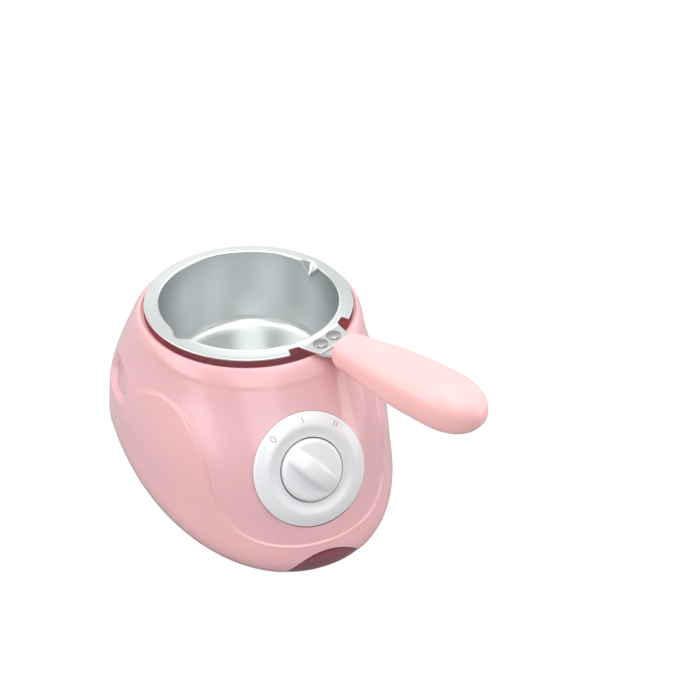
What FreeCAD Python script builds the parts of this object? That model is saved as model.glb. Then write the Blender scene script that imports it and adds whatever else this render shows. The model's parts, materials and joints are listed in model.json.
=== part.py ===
import FreeCAD, Part
import os
from math import atan2, cos, degrees, pi, radians, sin, sqrt, tan

# Chocolate melting pot, in millimetres. The origin is on the table under the pot's axis.
# The dial faces -Y, +Z is up.

V = FreeCAD.Vector
UP = V(0, 0, 1)
BACK = V(0, 1, 0)
RIGHT = V(1, 0, 0)
THROUGH = 60.0

# Clearances
RUN_FIT = 0.05
LOOSE_FIT = 0.3
CASE_GAP = 0.4
SEAT_GAP = 0.1

# Pot
POT_R = 45.6
POT_TAPER = 2.0
POT_WALL = 0.9
POT_CORNER = 6.0
POT_CLEAR = 0.25
RIM_TOP = 95.4
RIM_DROP = 0.9
RIM_W = 7.4
RIM_LEDGE = 1.2
RIM_T = 1.0
RIM_ROLL = 1.4
SPOUT_DROP = 10.5
SPOUT_HALF = 9.2
SPOUT_REACH = 4.4
SPOUT_SET_IN = 1.5
HANDLE_ANGLE = 26.0
TONGUE_HALF = 10.5
TONGUE_ROOT = 14.0
TONGUE_L = 5.5
TONGUE_FLAT_L = 4.6
NOTCH_DEPTH = 3.8
NOTCH_NEAR_ANGLE = 16.5
NOTCH_FAR_ANGLE = 23.0
NOTCH_CORNER = 1.8

# Bracket, rivets and handle
BRACKET_T = 1.5
BRACKET_SET_IN = 0.2
BRACKET_CORNER = 2.0
BRACKET_NECK_HALF = 7.2
TANG_HALF = 5.5
TANG_L = 34.0
RIVET_R = 2.0
RIVET_HEAD_R = 3.4
RIVET_HEAD_T = 1.5
RIVET_FOOT_T = 0.4
RIVET_FOOT_W = 0.8
RIVET_SIDE = 4.7
HANDLE_RISE = 2.2
HANDLE_GAP = 5.5
HANDLE_AXIS_Z = 94.4
HANDLE_STATIONS = ((0.0, 17.4, 14.0), (1.2, 19.2, 15.6), (8.5, 21.2, 17.1), (20.5, 25.0, 20.2), (35.0, 27.8, 22.8),
                   (49.0, 28.5, 23.5), (60.0, 27.6, 22.8), (68.0, 24.1, 19.9), (74.0, 17.8, 14.7))
HANDLE_LENGTH = 78.5
HANDLE_POWER = 2.3
HANDLE_SCREW_R = 1.6
HANDLE_SCREW_L = 10.0
HANDLE_SCREW_AT = 24.0
HANDLE_SCREW_DEPTH = 4.5
HANDLE_SCREW_HEAD_R = 3.0
HANDLE_SCREW_HEAD_T = 1.8

POT_FLOOR_R = POT_R - POT_TAPER
RIM_R = POT_R + RIM_W
RIM_FLAT_R = RIM_R - RIM_LEDGE
RIM_EDGE_TOP = RIM_TOP - RIM_DROP
NOTCH_R = RIM_R - NOTCH_DEPTH
TONGUE_R = RIM_R + TONGUE_L
TONGUE_FLAT_R = RIM_R - TONGUE_FLAT_L
TONGUE_TOP = RIM_EDGE_TOP
TONGUE_FOOT = TONGUE_TOP - RIM_T
RIVET_PCD_R = RIM_R
BRACKET_IN_R = TONGUE_FLAT_R + BRACKET_SET_IN
BRACKET_BEND_R = TONGUE_R + BRACKET_T
HANDLE_START = TONGUE_R + HANDLE_GAP
TANG_END_R = HANDLE_START + TANG_L

# Housing shell: height, reach to the front, half width and reach to the back
SHELL_FOOT = (1.5, 103.5, 71.8, 74.5)
SHELL_BELLY = ((10.0, 110.0, 73.8, 75.0), (24.0, 106.3, 73.0, 75.0), (41.0, 98.7, 71.2, 74.0),
               (59.0, 88.8, 66.8, 71.0), (75.0, 73.6, 62.3, 65.5))
LIP_TOP = 91.2
LIP_GAP = 2.3
LIP_W = 3.5
LIP_ROUND = 1.6
LIP_INNER_R = RIM_R + LIP_GAP
LIP_OUTER_R = LIP_INNER_R + LIP_W
WALL = 2.6
EGG_SHIFT = 29.0
EGG_POWER = 2.1
OUTLINE_POINTS = 32

# Front panel inside the U line, and the finger recesses at the sides
PANEL_STEP = 0.9
PANEL_REACH = 14.0
PANEL_HALF = ((0.0, 23.3), (24.0, 23.6), (36.0, 26.0), (41.8, 32.0), (44.6, 42.0), (45.7, 54.0),
              (46.8, 64.5), (51.0, 71.2), (58.5, 70.5), (70.0, 64.0))
GRIP_DEPTH = 7.0
GRIP_Y = 17.0
GRIP_Z = 52.0
GRIP_TUBE_R = 14.0
GRIP_RING_R = 16.0
GRIP_SURFACE_X = 69.5

# Dial, on a slanted seat in the front wall
DIAL_Y = -88.2
DIAL_Z = 53.0
DIAL_TILT = 32.5
DIAL_R = 27.3
DIAL_SEAT = -7.0
DIAL_FLOOR = 2.5
DIAL_EDGE_H = -1.4
CREST_R = 20.6
CREST_H = 1.5
DISH_H = -0.9
KNOB_WELL_H = -2.6
PLATE_SKIN = 1.8
OFF_ANGLE = 130.0

# Knob
KNOB_R = 15.45
KNOB_FACE_H = 3.4
KNOB_TOP_H = 9.0
KNOB_ROUND = 1.2
KNOB_DRAFT = 0.4
RIDGE_W = 5.6
RIDGE_ROUND = 1.6
RIDGE_ROOT = 1.2
RIDGE_SET_IN = 0.6
SCOOP_DROP = 2.2
SCOOP_RIM = 1.8

# Rotary switch
SHAFT_R = 3.0
SHAFT_FLAT = 2.3
SHAFT_TOP_H = 3.0
SHAFT_FOOT_H = -20.0
NECK_R = 4.5
NECK_TOP_H = -3.4
NUT_FLATS = 11.0
NUT_T = 2.2
SWITCH_W = 23.0
SWITCH_T = 17.0
BLADE_L = 6.0
BLADE_X = 5.0
BLADE_W = 4.0
BLADE_T = 0.8
DIODE_R = 1.35
DIODE_L = 5.0
LEAD_R = 0.4

# Well and heating stack
LINER_TOP = 90.2
LINER_WALL = 1.8
LINER_FLANGE = 1.2
WELL_FLOOR = 46.4
WELL_ROOM = 6.2
WELL_FLOOR_R = POT_FLOOR_R + WELL_ROOM
FLOOR_HOLE_R = 31.0
GASKET_T = 0.6
GASKET_W = 4.2
HOTPLATE_FLANGE = 1.2
HOTPLATE_PLUG = 4.2
POST_COUNT = 3
POST_PCD_R = 26.0
POST_R = 3.3
POST_L = 6.6
ELEMENT_R = 18.5
ELEMENT_TUBE_R = 3.2
ELEMENT_SWEEP = 300.0
TAIL_R = 1.5
TAIL_L = 13.0
RETAINER_R = 30.0
RETAINER_T = 1.3
RETAINER_SKIRT = 2.0
RETAINER_SCREW_R = 1.25
RETAINER_HEAD_R = 2.5
RETAINER_HEAD_T = 1.6
FUSE_R = 6.0
FUSE_T = 5.0
CLIP_T = 0.8
CLIP_W = 8.0
CLIP_FOOT = 6.0

# Lamp window in the front foot
WINDOW_HALF = 22.0
WINDOW_TOP = 19.5
LENS_T = 2.0
LAMP_R = 2.5
LAMP_L = 14.0
LAMP_Z = 10.0
LAMP_FRONT_Y = -98.0
HOLDER_W = 12.0
HOLDER_L = 10.0

# Base plate, its screws and the feet
BASE_T = 2.2
DOME_R = 5.2
DOME_H = 5.2
BASE_SCREW_R = 1.5
BASE_HEAD_R = 3.3
BASE_HEAD_T = 2.0
BASE_SCREW_L = 14.0
BOSS_R = 4.5
BOSS_TOP = 34.0
BOSS_PLACES = ((-48.5, -46.0), (48.5, -46.0), (-54.8, 48.0), (54.8, 48.0))
RIB_T = 2.0
RIB_L = 14.0
FOOT_PLACES = ((-40.0, -60.0), (40.0, -60.0), (-44.0, 52.0), (44.0, 52.0))
FOOT_R = 7.0
FOOT_STEM_R = 2.2
FOOT_BARB_R = 3.0
FOOT_BARB_T = 1.6
SLOT_COUNT = 9
SLOT_PITCH = 7.0
SLOT_W = 2.4
SLOT_L = 34.0

# Cord inlet
CORD_Z = 13.0
CORD_HOLE_R = 3.3
BUSH_R = 5.6
BUSH_FLANGE_R = 8.0
BUSH_FLANGE_T = 2.0
BUSH_L = 13.0
BUSH_BARB_R = 6.5
BUSH_BARB_T = 1.6
CORD_WALL_Y = SHELL_BELLY[0][3]
CLAMP_Y = 54.0
CLAMP_L = 8.0
CLAMP_HALF = 12.5
CLAMP_T = 4.0
CLAMP_SCREW_X = 8.8
CLAMP_SCREW_R = 1.3
CLAMP_HEAD_R = 2.5
CLAMP_HEAD_T = 1.6
BLOCK_L = 30.0
BLOCK_W = 15.0
BLOCK_H = 11.0
BLOCK_Y = 33.0
BLOCK_WAYS = 3
BLOCK_PITCH = 9.0
BLOCK_TOWER_HALF = 3.2
BLOCK_WIRE_R = 1.4
BLOCK_SCREW_R = 1.6
BLOCK_SCREW_Y = 3.5
BLOCK_WELL = 4.0
BLOCK_BASE_H = 6.6

BASE_TOP = SHELL_FOOT[0] + BASE_T
DOME_TOP = SHELL_FOOT[0] + DOME_H
INNER_TOP = LIP_TOP - WALL


def cylinder(radius, start, direction, length):
    """A round bar from start along direction."""
    return Part.makeCylinder(radius, length, start, direction)


def block(x0, x1, y0, y1, z0, z1):
    """A box between two corners."""
    return Part.makeBox(x1 - x0, y1 - y0, z1 - z0, V(x0, y0, z0))


def rounded_wire(points):
    """A closed outline from (point, corner radius) pairs, with each corner as a tangent arc."""
    edges = []
    count = len(points)
    starts, ends, middles = [], [], []
    for i in range(count):
        before, here, after = points[i - 1][0], points[i][0], points[(i + 1) % count][0]
        radius = points[i][1]
        back = (before - here).normalize()
        ahead = (after - here).normalize()
        half = back.getAngle(ahead) / 2
        trim = radius / tan(half) if radius else 0.0
        bisector = back + ahead
        starts.append(here + back * trim)
        ends.append(here + ahead * trim)
        middles.append(here + bisector.normalize() * (radius / sin(half) - radius) if radius else here)
    for i in range(count):
        if points[i][1]:
            edges.append(Part.Arc(starts[i], middles[i], ends[i]).toShape())
        following = starts[(i + 1) % count]
        if (following - ends[i]).Length > 1e-6:
            edges.append(Part.makeLine(ends[i], following))
    return Part.Wire(edges)


def turned(profile):
    """A turned part from (radius, height, corner radius) points, about the pot's axis."""
    wire = rounded_wire([(V(r, 0, z), corner) for r, z, corner in profile])
    return Part.Face(wire).revolve(V(0, 0, 0), UP, 360)


def plate(points, z0, z1):
    """A flat plate from (x, y, corner radius) points."""
    wire = rounded_wire([(V(x, y, z0), corner) for x, y, corner in points])
    return Part.Face(wire).extrude(V(0, 0, z1 - z0))


def in_dial(shape):
    """Moves a shape made with +Z as the dial's outward axis onto the slanted front."""
    place = FreeCAD.Placement(V(0, DIAL_Y, DIAL_Z), FreeCAD.Rotation(RIGHT, 90 - DIAL_TILT))
    return shape.transformed(place.toMatrix(), copy=True)


def along_handle(shape):
    """Turns a shape made along -Y to the handle's direction."""
    place = FreeCAD.Placement(V(0, 0, 0), FreeCAD.Rotation(UP, HANDLE_ANGLE))
    return shape.transformed(place.toMatrix(), copy=True)


def save(name, shape):
    """Writes one sub-part."""
    shape.exportStep("parts/" + name + ".step")
    print(name, len(shape.Solids), round(shape.Volume, 1), shape.isValid())


# Housing

def shell_stations():
    """The shell's sections from the foot to the lip."""
    return (SHELL_FOOT,) + SHELL_BELLY + ((LIP_TOP, LIP_OUTER_R, LIP_OUTER_R, LIP_OUTER_R),)


def station_at(height):
    """The shell's reaches at a height between its last two sections."""
    low, high = shell_stations()[-2:]
    share = (height - low[0]) / (high[0] - low[0])
    return (height,) + tuple(a + (b - a) * share for a, b in zip(low[1:], high[1:]))


def egg_wire(station, inset, front_step=0.0):
    """One egg-shaped section: two superellipse halves that meet at the widest line."""
    height, front, half, back = station
    share = height / LIP_TOP
    shift = EGG_SHIFT * (1 - share ** 2)
    power = 2 + (EGG_POWER - 2) * (1 - share ** 4)
    points = []
    for i in range(OUTLINE_POINTS):
        angle = 2 * pi * i / OUTLINE_POINTS
        c, s = cos(angle), sin(angle)
        swell = (abs(c) ** power + abs(s) ** power) ** (-1 / power)
        reach = back - shift if s > 0 else front + shift - front_step
        points.append(V((half - inset) * swell * c, shift + (reach - inset) * swell * s, height))
    curve = Part.BSplineCurve()
    curve.interpolate(Points=points, PeriodicFlag=True)
    return Part.Wire(curve.toShape())


def shell_form(inset, top=LIP_TOP, front_step=0.0):
    """The closed form of the shell, drawn in by an inset and closed flat at the top."""
    sections = list(shell_stations()[:-1])
    sections.append(station_at(top))
    wires = []
    for section in sections:
        fade = front_step * (1 - 0.8 * (section[0] / LIP_TOP) ** 2)
        wires.append(egg_wire(section, inset, fade))
    return Part.makeLoft(wires, True, False)


def panel_prism():
    """The space over the front panel, inside its U line, back to where the line fades."""
    right = [V(x, -PANEL_REACH, z) for x, z in PANEL_HALF]
    left = [V(-p.x, p.y, p.z) for p in reversed(right[1:])]
    curve = Part.BSplineCurve()
    curve.interpolate(left + right)
    top = LIP_TOP + WALL
    far = PANEL_HALF[-1][0]
    corner_right = V(far, -PANEL_REACH, top)
    corner_left = V(-far, -PANEL_REACH, top)
    edges = [curve.toShape(), Part.makeLine(right[-1], corner_right),
             Part.makeLine(corner_right, corner_left), Part.makeLine(corner_left, left[0])]
    return Part.Face(Part.Wire(edges)).extrude(V(0, -2 * SHELL_FOOT[1], 0))


def grip_scoop(side, grow):
    """A ring-shaped cutter for one finger recess. Grown by the wall it backs the recess inside."""
    reach = GRIP_RING_R + GRIP_TUBE_R
    centre = V(side * (GRIP_SURFACE_X - GRIP_DEPTH + reach), GRIP_Y, GRIP_Z)
    ring = Part.makeTorus(GRIP_RING_R, GRIP_TUBE_R + grow, centre, UP)
    plug = cylinder(GRIP_RING_R, centre - UP * (GRIP_TUBE_R + grow), UP, 2 * (GRIP_TUBE_R + grow))
    return ring.fuse(plug)


def window_prism(grow):
    """The half-moon opening of the lamp window."""
    rise = WINDOW_TOP - SHELL_FOOT[0]
    radius = (WINDOW_HALF ** 2 + rise ** 2) / (2 * rise)
    centre = V(0, -SHELL_FOOT[1] - 10, WINDOW_TOP - radius)
    return cylinder(radius + grow, centre, BACK, THROUGH / 2)


def make_housing():
    """The moulded pink shell."""
    outer = shell_form(0.0)
    outer = outer.makeFillet(LIP_ROUND, [edge for edge in outer.Edges if edge.BoundBox.ZMin > LIP_TOP - 0.01])
    outer = outer.cut(panel_prism().cut(shell_form(0.0, front_step=PANEL_STEP)))
    inner = shell_form(WALL, INNER_TOP)
    for side in (-1, 1):
        outer = outer.cut(grip_scoop(side, 0.0))
        inner = inner.cut(grip_scoop(side, WALL))
    seat = in_dial(cylinder(DIAL_R + WALL, UP * (DIAL_SEAT - DIAL_FLOOR), UP, THROUGH))
    inner = inner.cut(seat)
    shell = outer.cut(inner)
    shell = shell.cut(cylinder(LIP_INNER_R, UP * (INNER_TOP - 1), UP, THROUGH))
    form = shell_form(0.0)
    for x, y in BOSS_PLACES:
        boss = cylinder(BOSS_R, V(x, y, DOME_TOP), UP, BOSS_TOP - DOME_TOP)
        rib = block(0, RIB_L, -RIB_T / 2, RIB_T / 2, DOME_TOP, BOSS_TOP)
        rib.Placement = FreeCAD.Placement(V(x, y, 0), FreeCAD.Rotation(UP, degrees(atan2(y, x))))
        shell = shell.fuse(boss.fuse(rib).common(form))
    for x, y in BOSS_PLACES:
        shell = shell.cut(cylinder(BASE_SCREW_R, V(x, y, DOME_TOP), UP, BASE_SCREW_L))
    shell = shell.cut(in_dial(cylinder(DIAL_R + LOOSE_FIT, UP * DIAL_SEAT, UP, THROUGH / 2)))
    shell = shell.cut(in_dial(cylinder(NECK_R + LOOSE_FIT, UP * (DIAL_SEAT - THROUGH / 4), UP, THROUGH / 2)))
    shell = shell.cut(window_prism(0.0))
    return shell.cut(cylinder(BUSH_R + RUN_FIT, V(0, CORD_WALL_Y - THROUGH / 4, CORD_Z), BACK, THROUGH / 2))


# Well and heating stack

HOTPLATE_TOP = WELL_FLOOR + GASKET_T + HOTPLATE_FLANGE
PLUG_FOOT = WELL_FLOOR + GASKET_T - HOTPLATE_PLUG
RETAINER_TOP = PLUG_FOOT - POST_L
RETAINER_FOOT = RETAINER_TOP - RETAINER_T


def post_places():
    """The places of the posts and screws under the heating plate."""
    places = []
    for i in range(POST_COUNT):
        angle = radians(90 + 360 * i / POST_COUNT)
        places.append(V(POST_PCD_R * cos(angle), POST_PCD_R * sin(angle), 0))
    return places


def make_well_liner():
    """The round well: a tapered cup with a hole in its floor and a flange under the lip."""
    collar = LIP_INNER_R - LOOSE_FIT
    flange = LIP_INNER_R + LINER_FLANGE
    floor_foot = WELL_FLOOR - LINER_WALL
    return turned([
        (FLOOR_HOLE_R, floor_foot, 0), (WELL_FLOOR_R + LINER_WALL, floor_foot, 3.0),
        (collar, INNER_TOP - LINER_FLANGE, 0), (flange, INNER_TOP - LINER_FLANGE, 0), (flange, INNER_TOP, 0),
        (collar, INNER_TOP, 0), (collar, LINER_TOP, 0), (collar - LINER_WALL, LINER_TOP, 0.6),
        (WELL_FLOOR_R, WELL_FLOOR, 2.0), (FLOOR_HOLE_R, WELL_FLOOR, 0)])


def make_plate_gasket():
    """The seal between the well's floor and the heating plate."""
    top = WELL_FLOOR + GASKET_T
    outer = FLOOR_HOLE_R + GASKET_W
    return turned([(FLOOR_HOLE_R, WELL_FLOOR, 0), (outer, WELL_FLOOR, 0), (outer, top, 0), (FLOOR_HOLE_R, top, 0)])


def make_heating_plate():
    """The aluminium plate, with its plug through the floor and three screw posts."""
    under = WELL_FLOOR + GASKET_T
    plug = FLOOR_HOLE_R - LOOSE_FIT
    body = turned([
        (0, PLUG_FOOT, 0), (plug, PLUG_FOOT, 0.8), (plug, under, 0),
        (FLOOR_HOLE_R + GASKET_W, under, 0), (FLOOR_HOLE_R + GASKET_W, HOTPLATE_TOP, 0.5), (0, HOTPLATE_TOP, 0)])
    for place in post_places():
        body = body.fuse(cylinder(POST_R, place + UP * RETAINER_TOP, UP, POST_L + 1))
    for place in post_places():
        body = body.cut(cylinder(RETAINER_SCREW_R, place + UP * RETAINER_TOP, UP, POST_L))
    return body


def element_height():
    """The height of the middle of the heater's tube."""
    return PLUG_FOOT - ELEMENT_TUBE_R - RUN_FIT


def element_end(side):
    """One end of the open heater ring."""
    angle = radians(-90 + side * (360 - ELEMENT_SWEEP) / 2)
    return V(ELEMENT_R * cos(angle), ELEMENT_R * sin(angle), element_height())


def make_heating_element():
    """The tubular heater: an open ring with a thin tail down from each end."""
    first = radians(-90 + (360 - ELEMENT_SWEEP) / 2)
    start = V(ELEMENT_R * cos(first), ELEMENT_R * sin(first), element_height())
    tangent = V(-sin(first), cos(first), 0)
    section = Part.Face(Part.Wire(Part.makeCircle(ELEMENT_TUBE_R, start, tangent)))
    ring = section.revolve(V(0, 0, 0), UP, ELEMENT_SWEEP)
    for side in (-1, 1):
        ring = ring.fuse(Part.makeSphere(ELEMENT_TUBE_R, element_end(side)))
        ring = ring.fuse(cylinder(TAIL_R, element_end(side) - UP * TAIL_L, UP, TAIL_L))
    return ring


def make_heater_retainer():
    """The pressed pan that clamps the heater up against the plate."""
    inner = RETAINER_R - RETAINER_T
    pan = turned([
        (0, RETAINER_FOOT, 0), (inner, RETAINER_FOOT, 0.4), (inner, RETAINER_FOOT - RETAINER_SKIRT, 0),
        (RETAINER_R, RETAINER_FOOT - RETAINER_SKIRT, 0), (RETAINER_R, RETAINER_TOP, 1.2), (0, RETAINER_TOP, 0)])
    for place in post_places():
        pan = pan.cut(cylinder(RETAINER_SCREW_R + LOOSE_FIT, place + UP * (RETAINER_FOOT - 3), UP, 10))
    for side in (-1, 1):
        pan = pan.cut(cylinder(TAIL_R + 2 * LOOSE_FIT, element_end(side) - UP * 15, UP, 15))
    return pan


def screw(place, direction, radius, length, head_radius, head_height):
    """A plain screw whose head rests at place and whose shank runs along direction."""
    shank = cylinder(radius, place, direction, length)
    head = cylinder(head_radius, place - direction * head_height, direction, head_height)
    rim = [edge for edge in head.Edges if edge.Length > head_radius * 6
           and (edge.CenterOfMass - place).dot(direction) < -head_height / 2]
    return head.makeFillet(head_height * 0.4, rim).fuse(shank)


def make_retainer_screws():
    """The three screws up into the plate's posts."""
    parts = []
    for place in post_places():
        parts.append(screw(place + UP * RETAINER_FOOT, UP, RETAINER_SCREW_R - RUN_FIT, POST_L,
                           RETAINER_HEAD_R, RETAINER_HEAD_T))
    return Part.Compound(parts)


def make_thermal_fuse():
    """The can-shaped cut-out under the retainer, with its two blades."""
    can = cylinder(FUSE_R, UP * (RETAINER_FOOT - FUSE_T), UP, FUSE_T)
    for side in (-1, 1):
        y0, y1 = sorted((side * (FUSE_R - 1), side * (FUSE_R + BLADE_L)))
        z = RETAINER_FOOT - FUSE_T / 2
        can = can.fuse(block(-BLADE_W / 2, BLADE_W / 2, y0, y1, z, z + BLADE_T))
    return can


def make_fuse_clip():
    """The spring strap that holds the can up, with a foot on each side."""
    inner = FUSE_R + SEAT_GAP
    outer = inner + CLIP_T
    foot = RETAINER_FOOT - FUSE_T - SEAT_GAP
    low = foot - CLIP_T
    tab = RETAINER_FOOT - CLIP_T
    reach = outer + CLIP_FOOT
    points = [(-reach, RETAINER_FOOT), (-inner, RETAINER_FOOT), (-inner, foot), (inner, foot),
              (inner, RETAINER_FOOT), (reach, RETAINER_FOOT), (reach, tab), (outer, tab),
              (outer, low), (-outer, low), (-outer, tab), (-reach, tab)]
    wire = rounded_wire([(V(x, -CLIP_W / 2, z), 0) for x, z in points])
    return Part.Face(wire).extrude(V(0, CLIP_W, 0))


# Dial, switch and knob

def make_dial_plate():
    """The white ring: a crest round the knob's well, and an outer band that slopes down to its edge."""
    well_r = KNOB_R + 2 * LOOSE_FIT
    hole = NECK_R + LOOSE_FIT
    form = turned([
        (hole, DIAL_SEAT, 0), (hole, KNOB_WELL_H, 0), (well_r, KNOB_WELL_H, 0), (well_r, DISH_H, 0.5),
        (CREST_R, CREST_H, 1.4), (DIAL_R, DIAL_EDGE_H, 1.0), (DIAL_R, DIAL_SEAT, 0)])
    hollow_r = DIAL_R - 2 * PLATE_SKIN
    hollow = turned([
        (0, DIAL_SEAT - 1, 0), (hollow_r, DIAL_SEAT - 1, 0), (hollow_r, DIAL_SEAT + 0.6, 0),
        (CREST_R, CREST_H - 2 * PLATE_SKIN, 0), (well_r + PLATE_SKIN, DISH_H - PLATE_SKIN, 0),
        (well_r + PLATE_SKIN, KNOB_WELL_H - PLATE_SKIN, 0), (0, KNOB_WELL_H - PLATE_SKIN, 0)])
    return in_dial(form.cut(hollow))


def d_bar(radius, flat, start, end):
    """A round bar with one flat along it."""
    bar = cylinder(radius, UP * start, UP, end - start)
    return bar.cut(block(-2 * radius, 2 * radius, flat, 2 * radius, start, end))


def to_off(shape):
    """Turns a knob part made along +X to the mark for off."""
    return shape.transformed(FreeCAD.Placement(V(0, 0, 0), FreeCAD.Rotation(UP, OFF_ANGLE)).toMatrix(), copy=True)


def make_knob():
    """The round knob: a low disc with two scoops and an arched ridge from edge to edge."""
    foot = KNOB_WELL_H + 2 * SEAT_GAP
    disc = turned([
        (0, foot, 0), (KNOB_R, foot, LOOSE_FIT), (KNOB_R - KNOB_DRAFT, KNOB_FACE_H, KNOB_ROUND),
        (0, KNOB_FACE_H, 0)])
    scoop = cylinder(KNOB_R - SCOOP_RIM, UP * (KNOB_FACE_H - SCOOP_DROP), UP, THROUGH)
    scoop = scoop.cut(block(-KNOB_R, KNOB_R, -RIDGE_W / 2, RIDGE_W / 2, foot, THROUGH))
    span = KNOB_R - RIDGE_SET_IN
    left = V(-span, -RIDGE_W / 2, KNOB_FACE_H - RIDGE_ROOT)
    right = V(span, -RIDGE_W / 2, KNOB_FACE_H - RIDGE_ROOT)
    arch = Part.Wire([Part.Arc(left, V(0, -RIDGE_W / 2, KNOB_TOP_H), right).toShape(),
                      Part.makeLine(right, left)])
    ridge = Part.Face(arch).extrude(V(0, RIDGE_W, 0))
    top = [edge for edge in ridge.Edges if edge.BoundBox.ZMax > KNOB_TOP_H - SEAT_GAP]
    ridge = ridge.makeFillet(RIDGE_ROUND, top)
    knob = disc.cut(scoop).fuse(ridge)
    bore = d_bar(SHAFT_R + RUN_FIT / 2, SHAFT_FLAT + RUN_FIT / 2, foot - 1, SHAFT_TOP_H + SEAT_GAP)
    return in_dial(to_off(knob.cut(bore).removeSplitter()))


def make_switch_shaft():
    """The switch's shaft, with its flat inside the knob."""
    round_part = cylinder(SHAFT_R, UP * SHAFT_FOOT_H, UP, NECK_TOP_H - SHAFT_FOOT_H)
    return in_dial(to_off(round_part.fuse(d_bar(SHAFT_R, SHAFT_FLAT, NECK_TOP_H, SHAFT_TOP_H))))


def blade_places():
    """The switch's four blades, in the dial's plane."""
    return [(x * BLADE_X, w * SWITCH_W / 4) for x in (-1, 1) for w in (-1, 1)]


def make_switch_body():
    """The rotary switch behind the front wall, with its neck and blades."""
    top = DIAL_SEAT - DIAL_FLOOR
    half = SWITCH_W / 2
    corners = [(-half, -half, 2.0), (half, -half, 2.0), (half, half, 2.0), (-half, half, 2.0)]
    body = plate(corners, top - SWITCH_T, top)
    body = body.fuse(cylinder(NECK_R, UP * top, UP, NECK_TOP_H - SEAT_GAP - top))
    body = body.cut(cylinder(SHAFT_R + RUN_FIT, UP * (SHAFT_FOOT_H - SEAT_GAP), UP, 30))
    foot = top - SWITCH_T
    for x, w in blade_places():
        body = body.fuse(block(x - BLADE_T / 2, x + BLADE_T / 2, w - BLADE_W / 2, w + BLADE_W / 2,
                               foot - BLADE_L, foot))
    return in_dial(body)


def make_switch_nut():
    """The hexagon nut that holds the switch to the dial's seat."""
    across = NUT_FLATS / sqrt(3)
    points = [(across * cos(i * pi / 3), across * sin(i * pi / 3), 0) for i in range(6)]
    nut = plate(points, DIAL_SEAT, DIAL_SEAT + NUT_T)
    return in_dial(nut.cut(cylinder(NECK_R + RUN_FIT, UP * DIAL_SEAT, UP, NUT_T)))


def make_half_power_diode():
    """The diode between two of the switch's blades."""
    foot = DIAL_SEAT - DIAL_FLOOR - SWITCH_T
    height = foot - BLADE_L + DIODE_R + 1
    w = -SWITCH_W / 4
    inner = BLADE_X - BLADE_T / 2
    body = cylinder(DIODE_R, V(-DIODE_L / 2, w, height), RIGHT, DIODE_L)
    leads = cylinder(LEAD_R, V(-inner, w, height), RIGHT, 2 * inner)
    return in_dial(body.fuse(leads))


# Lamp window

def make_indicator_lens():
    """The red half-moon lens, curved with the front foot."""
    skin = shell_form(LOOSE_FIT).cut(shell_form(LOOSE_FIT + LENS_T))
    lens = skin.common(window_prism(-LOOSE_FIT))
    return lens.common(block(-WINDOW_HALF, WINDOW_HALF, -2 * SHELL_FOOT[1], -SHELL_FOOT[1] / 2,
                             SHELL_FOOT[0] + LOOSE_FIT, WINDOW_TOP))


def make_lamp_holder():
    """The block that carries the lamp behind its window."""
    rear = LAMP_FRONT_Y + LAMP_L + 1
    holder = block(-HOLDER_W / 2, HOLDER_W / 2, rear - HOLDER_L, rear, BASE_TOP, LAMP_Z + LAMP_R + 2)
    return holder.cut(cylinder(LAMP_R + RUN_FIT, V(0, rear - HOLDER_L, LAMP_Z), BACK, HOLDER_L - 1))


def make_indicator_lamp():
    """The small glass lamp, with a round nose."""
    body = cylinder(LAMP_R, V(0, LAMP_FRONT_Y + LAMP_R, LAMP_Z), BACK, LAMP_L - LAMP_R)
    return body.fuse(Part.makeSphere(LAMP_R, V(0, LAMP_FRONT_Y + LAMP_R, LAMP_Z)))


# Base plate, screws, feet and cord inlet

def cradle_top():
    """The height of the cord's cradle on the base plate."""
    return CORD_Z - LOOSE_FIT


def make_base_plate():
    """The flat bottom cover with screw domes, cooling slots and the cord's cradle."""
    base = Part.Face(egg_wire(SHELL_FOOT, WALL + CASE_GAP)).extrude(V(0, 0, BASE_T))
    for x, y in BOSS_PLACES:
        base = base.fuse(cylinder(DOME_R, V(x, y, SHELL_FOOT[0]), UP, DOME_H))
    base = base.fuse(block(-CLAMP_HALF, CLAMP_HALF, CLAMP_Y, CLAMP_Y + CLAMP_L, SHELL_FOOT[0], cradle_top()))
    base = base.cut(cylinder(CORD_HOLE_R, V(0, CLAMP_Y, CORD_Z), BACK, CLAMP_L))
    seat = DOME_TOP - BASE_T
    for x, y in BOSS_PLACES:
        base = base.cut(cylinder(BASE_HEAD_R + LOOSE_FIT, V(x, y, 0), UP, seat))
        base = base.cut(cylinder(BASE_SCREW_R + LOOSE_FIT, V(x, y, 0), UP, DOME_TOP))
    for side in (-1, 1):
        place = V(side * CLAMP_SCREW_X, CLAMP_Y + CLAMP_L / 2, BASE_TOP)
        base = base.cut(cylinder(CLAMP_SCREW_R, place, UP, 20))
    for x, y in FOOT_PLACES:
        base = base.cut(cylinder(FOOT_STEM_R + RUN_FIT, V(x, y, 0), UP, 10))
    first = -SLOT_PITCH * (SLOT_COUNT - 1) / 2
    for i in range(SLOT_COUNT):
        x = first + i * SLOT_PITCH
        half = SLOT_W / 2
        ends = [(x - half, -SLOT_L / 2 - 20, half * 0.99), (x + half, -SLOT_L / 2 - 20, half * 0.99),
                (x + half, SLOT_L / 2 - 20, half * 0.99), (x - half, SLOT_L / 2 - 20, half * 0.99)]
        base = base.cut(plate(ends, 0, BASE_TOP + 1))
    return base.removeSplitter()


def make_base_screws():
    """The four screws through the domes into the housing's bosses."""
    seat = DOME_TOP - BASE_T
    parts = []
    for x, y in BOSS_PLACES:
        parts.append(screw(V(x, y, seat), UP, BASE_SCREW_R - RUN_FIT, BASE_T + BASE_SCREW_L - 2,
                           BASE_HEAD_R, BASE_HEAD_T))
    return Part.Compound(parts)


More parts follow.
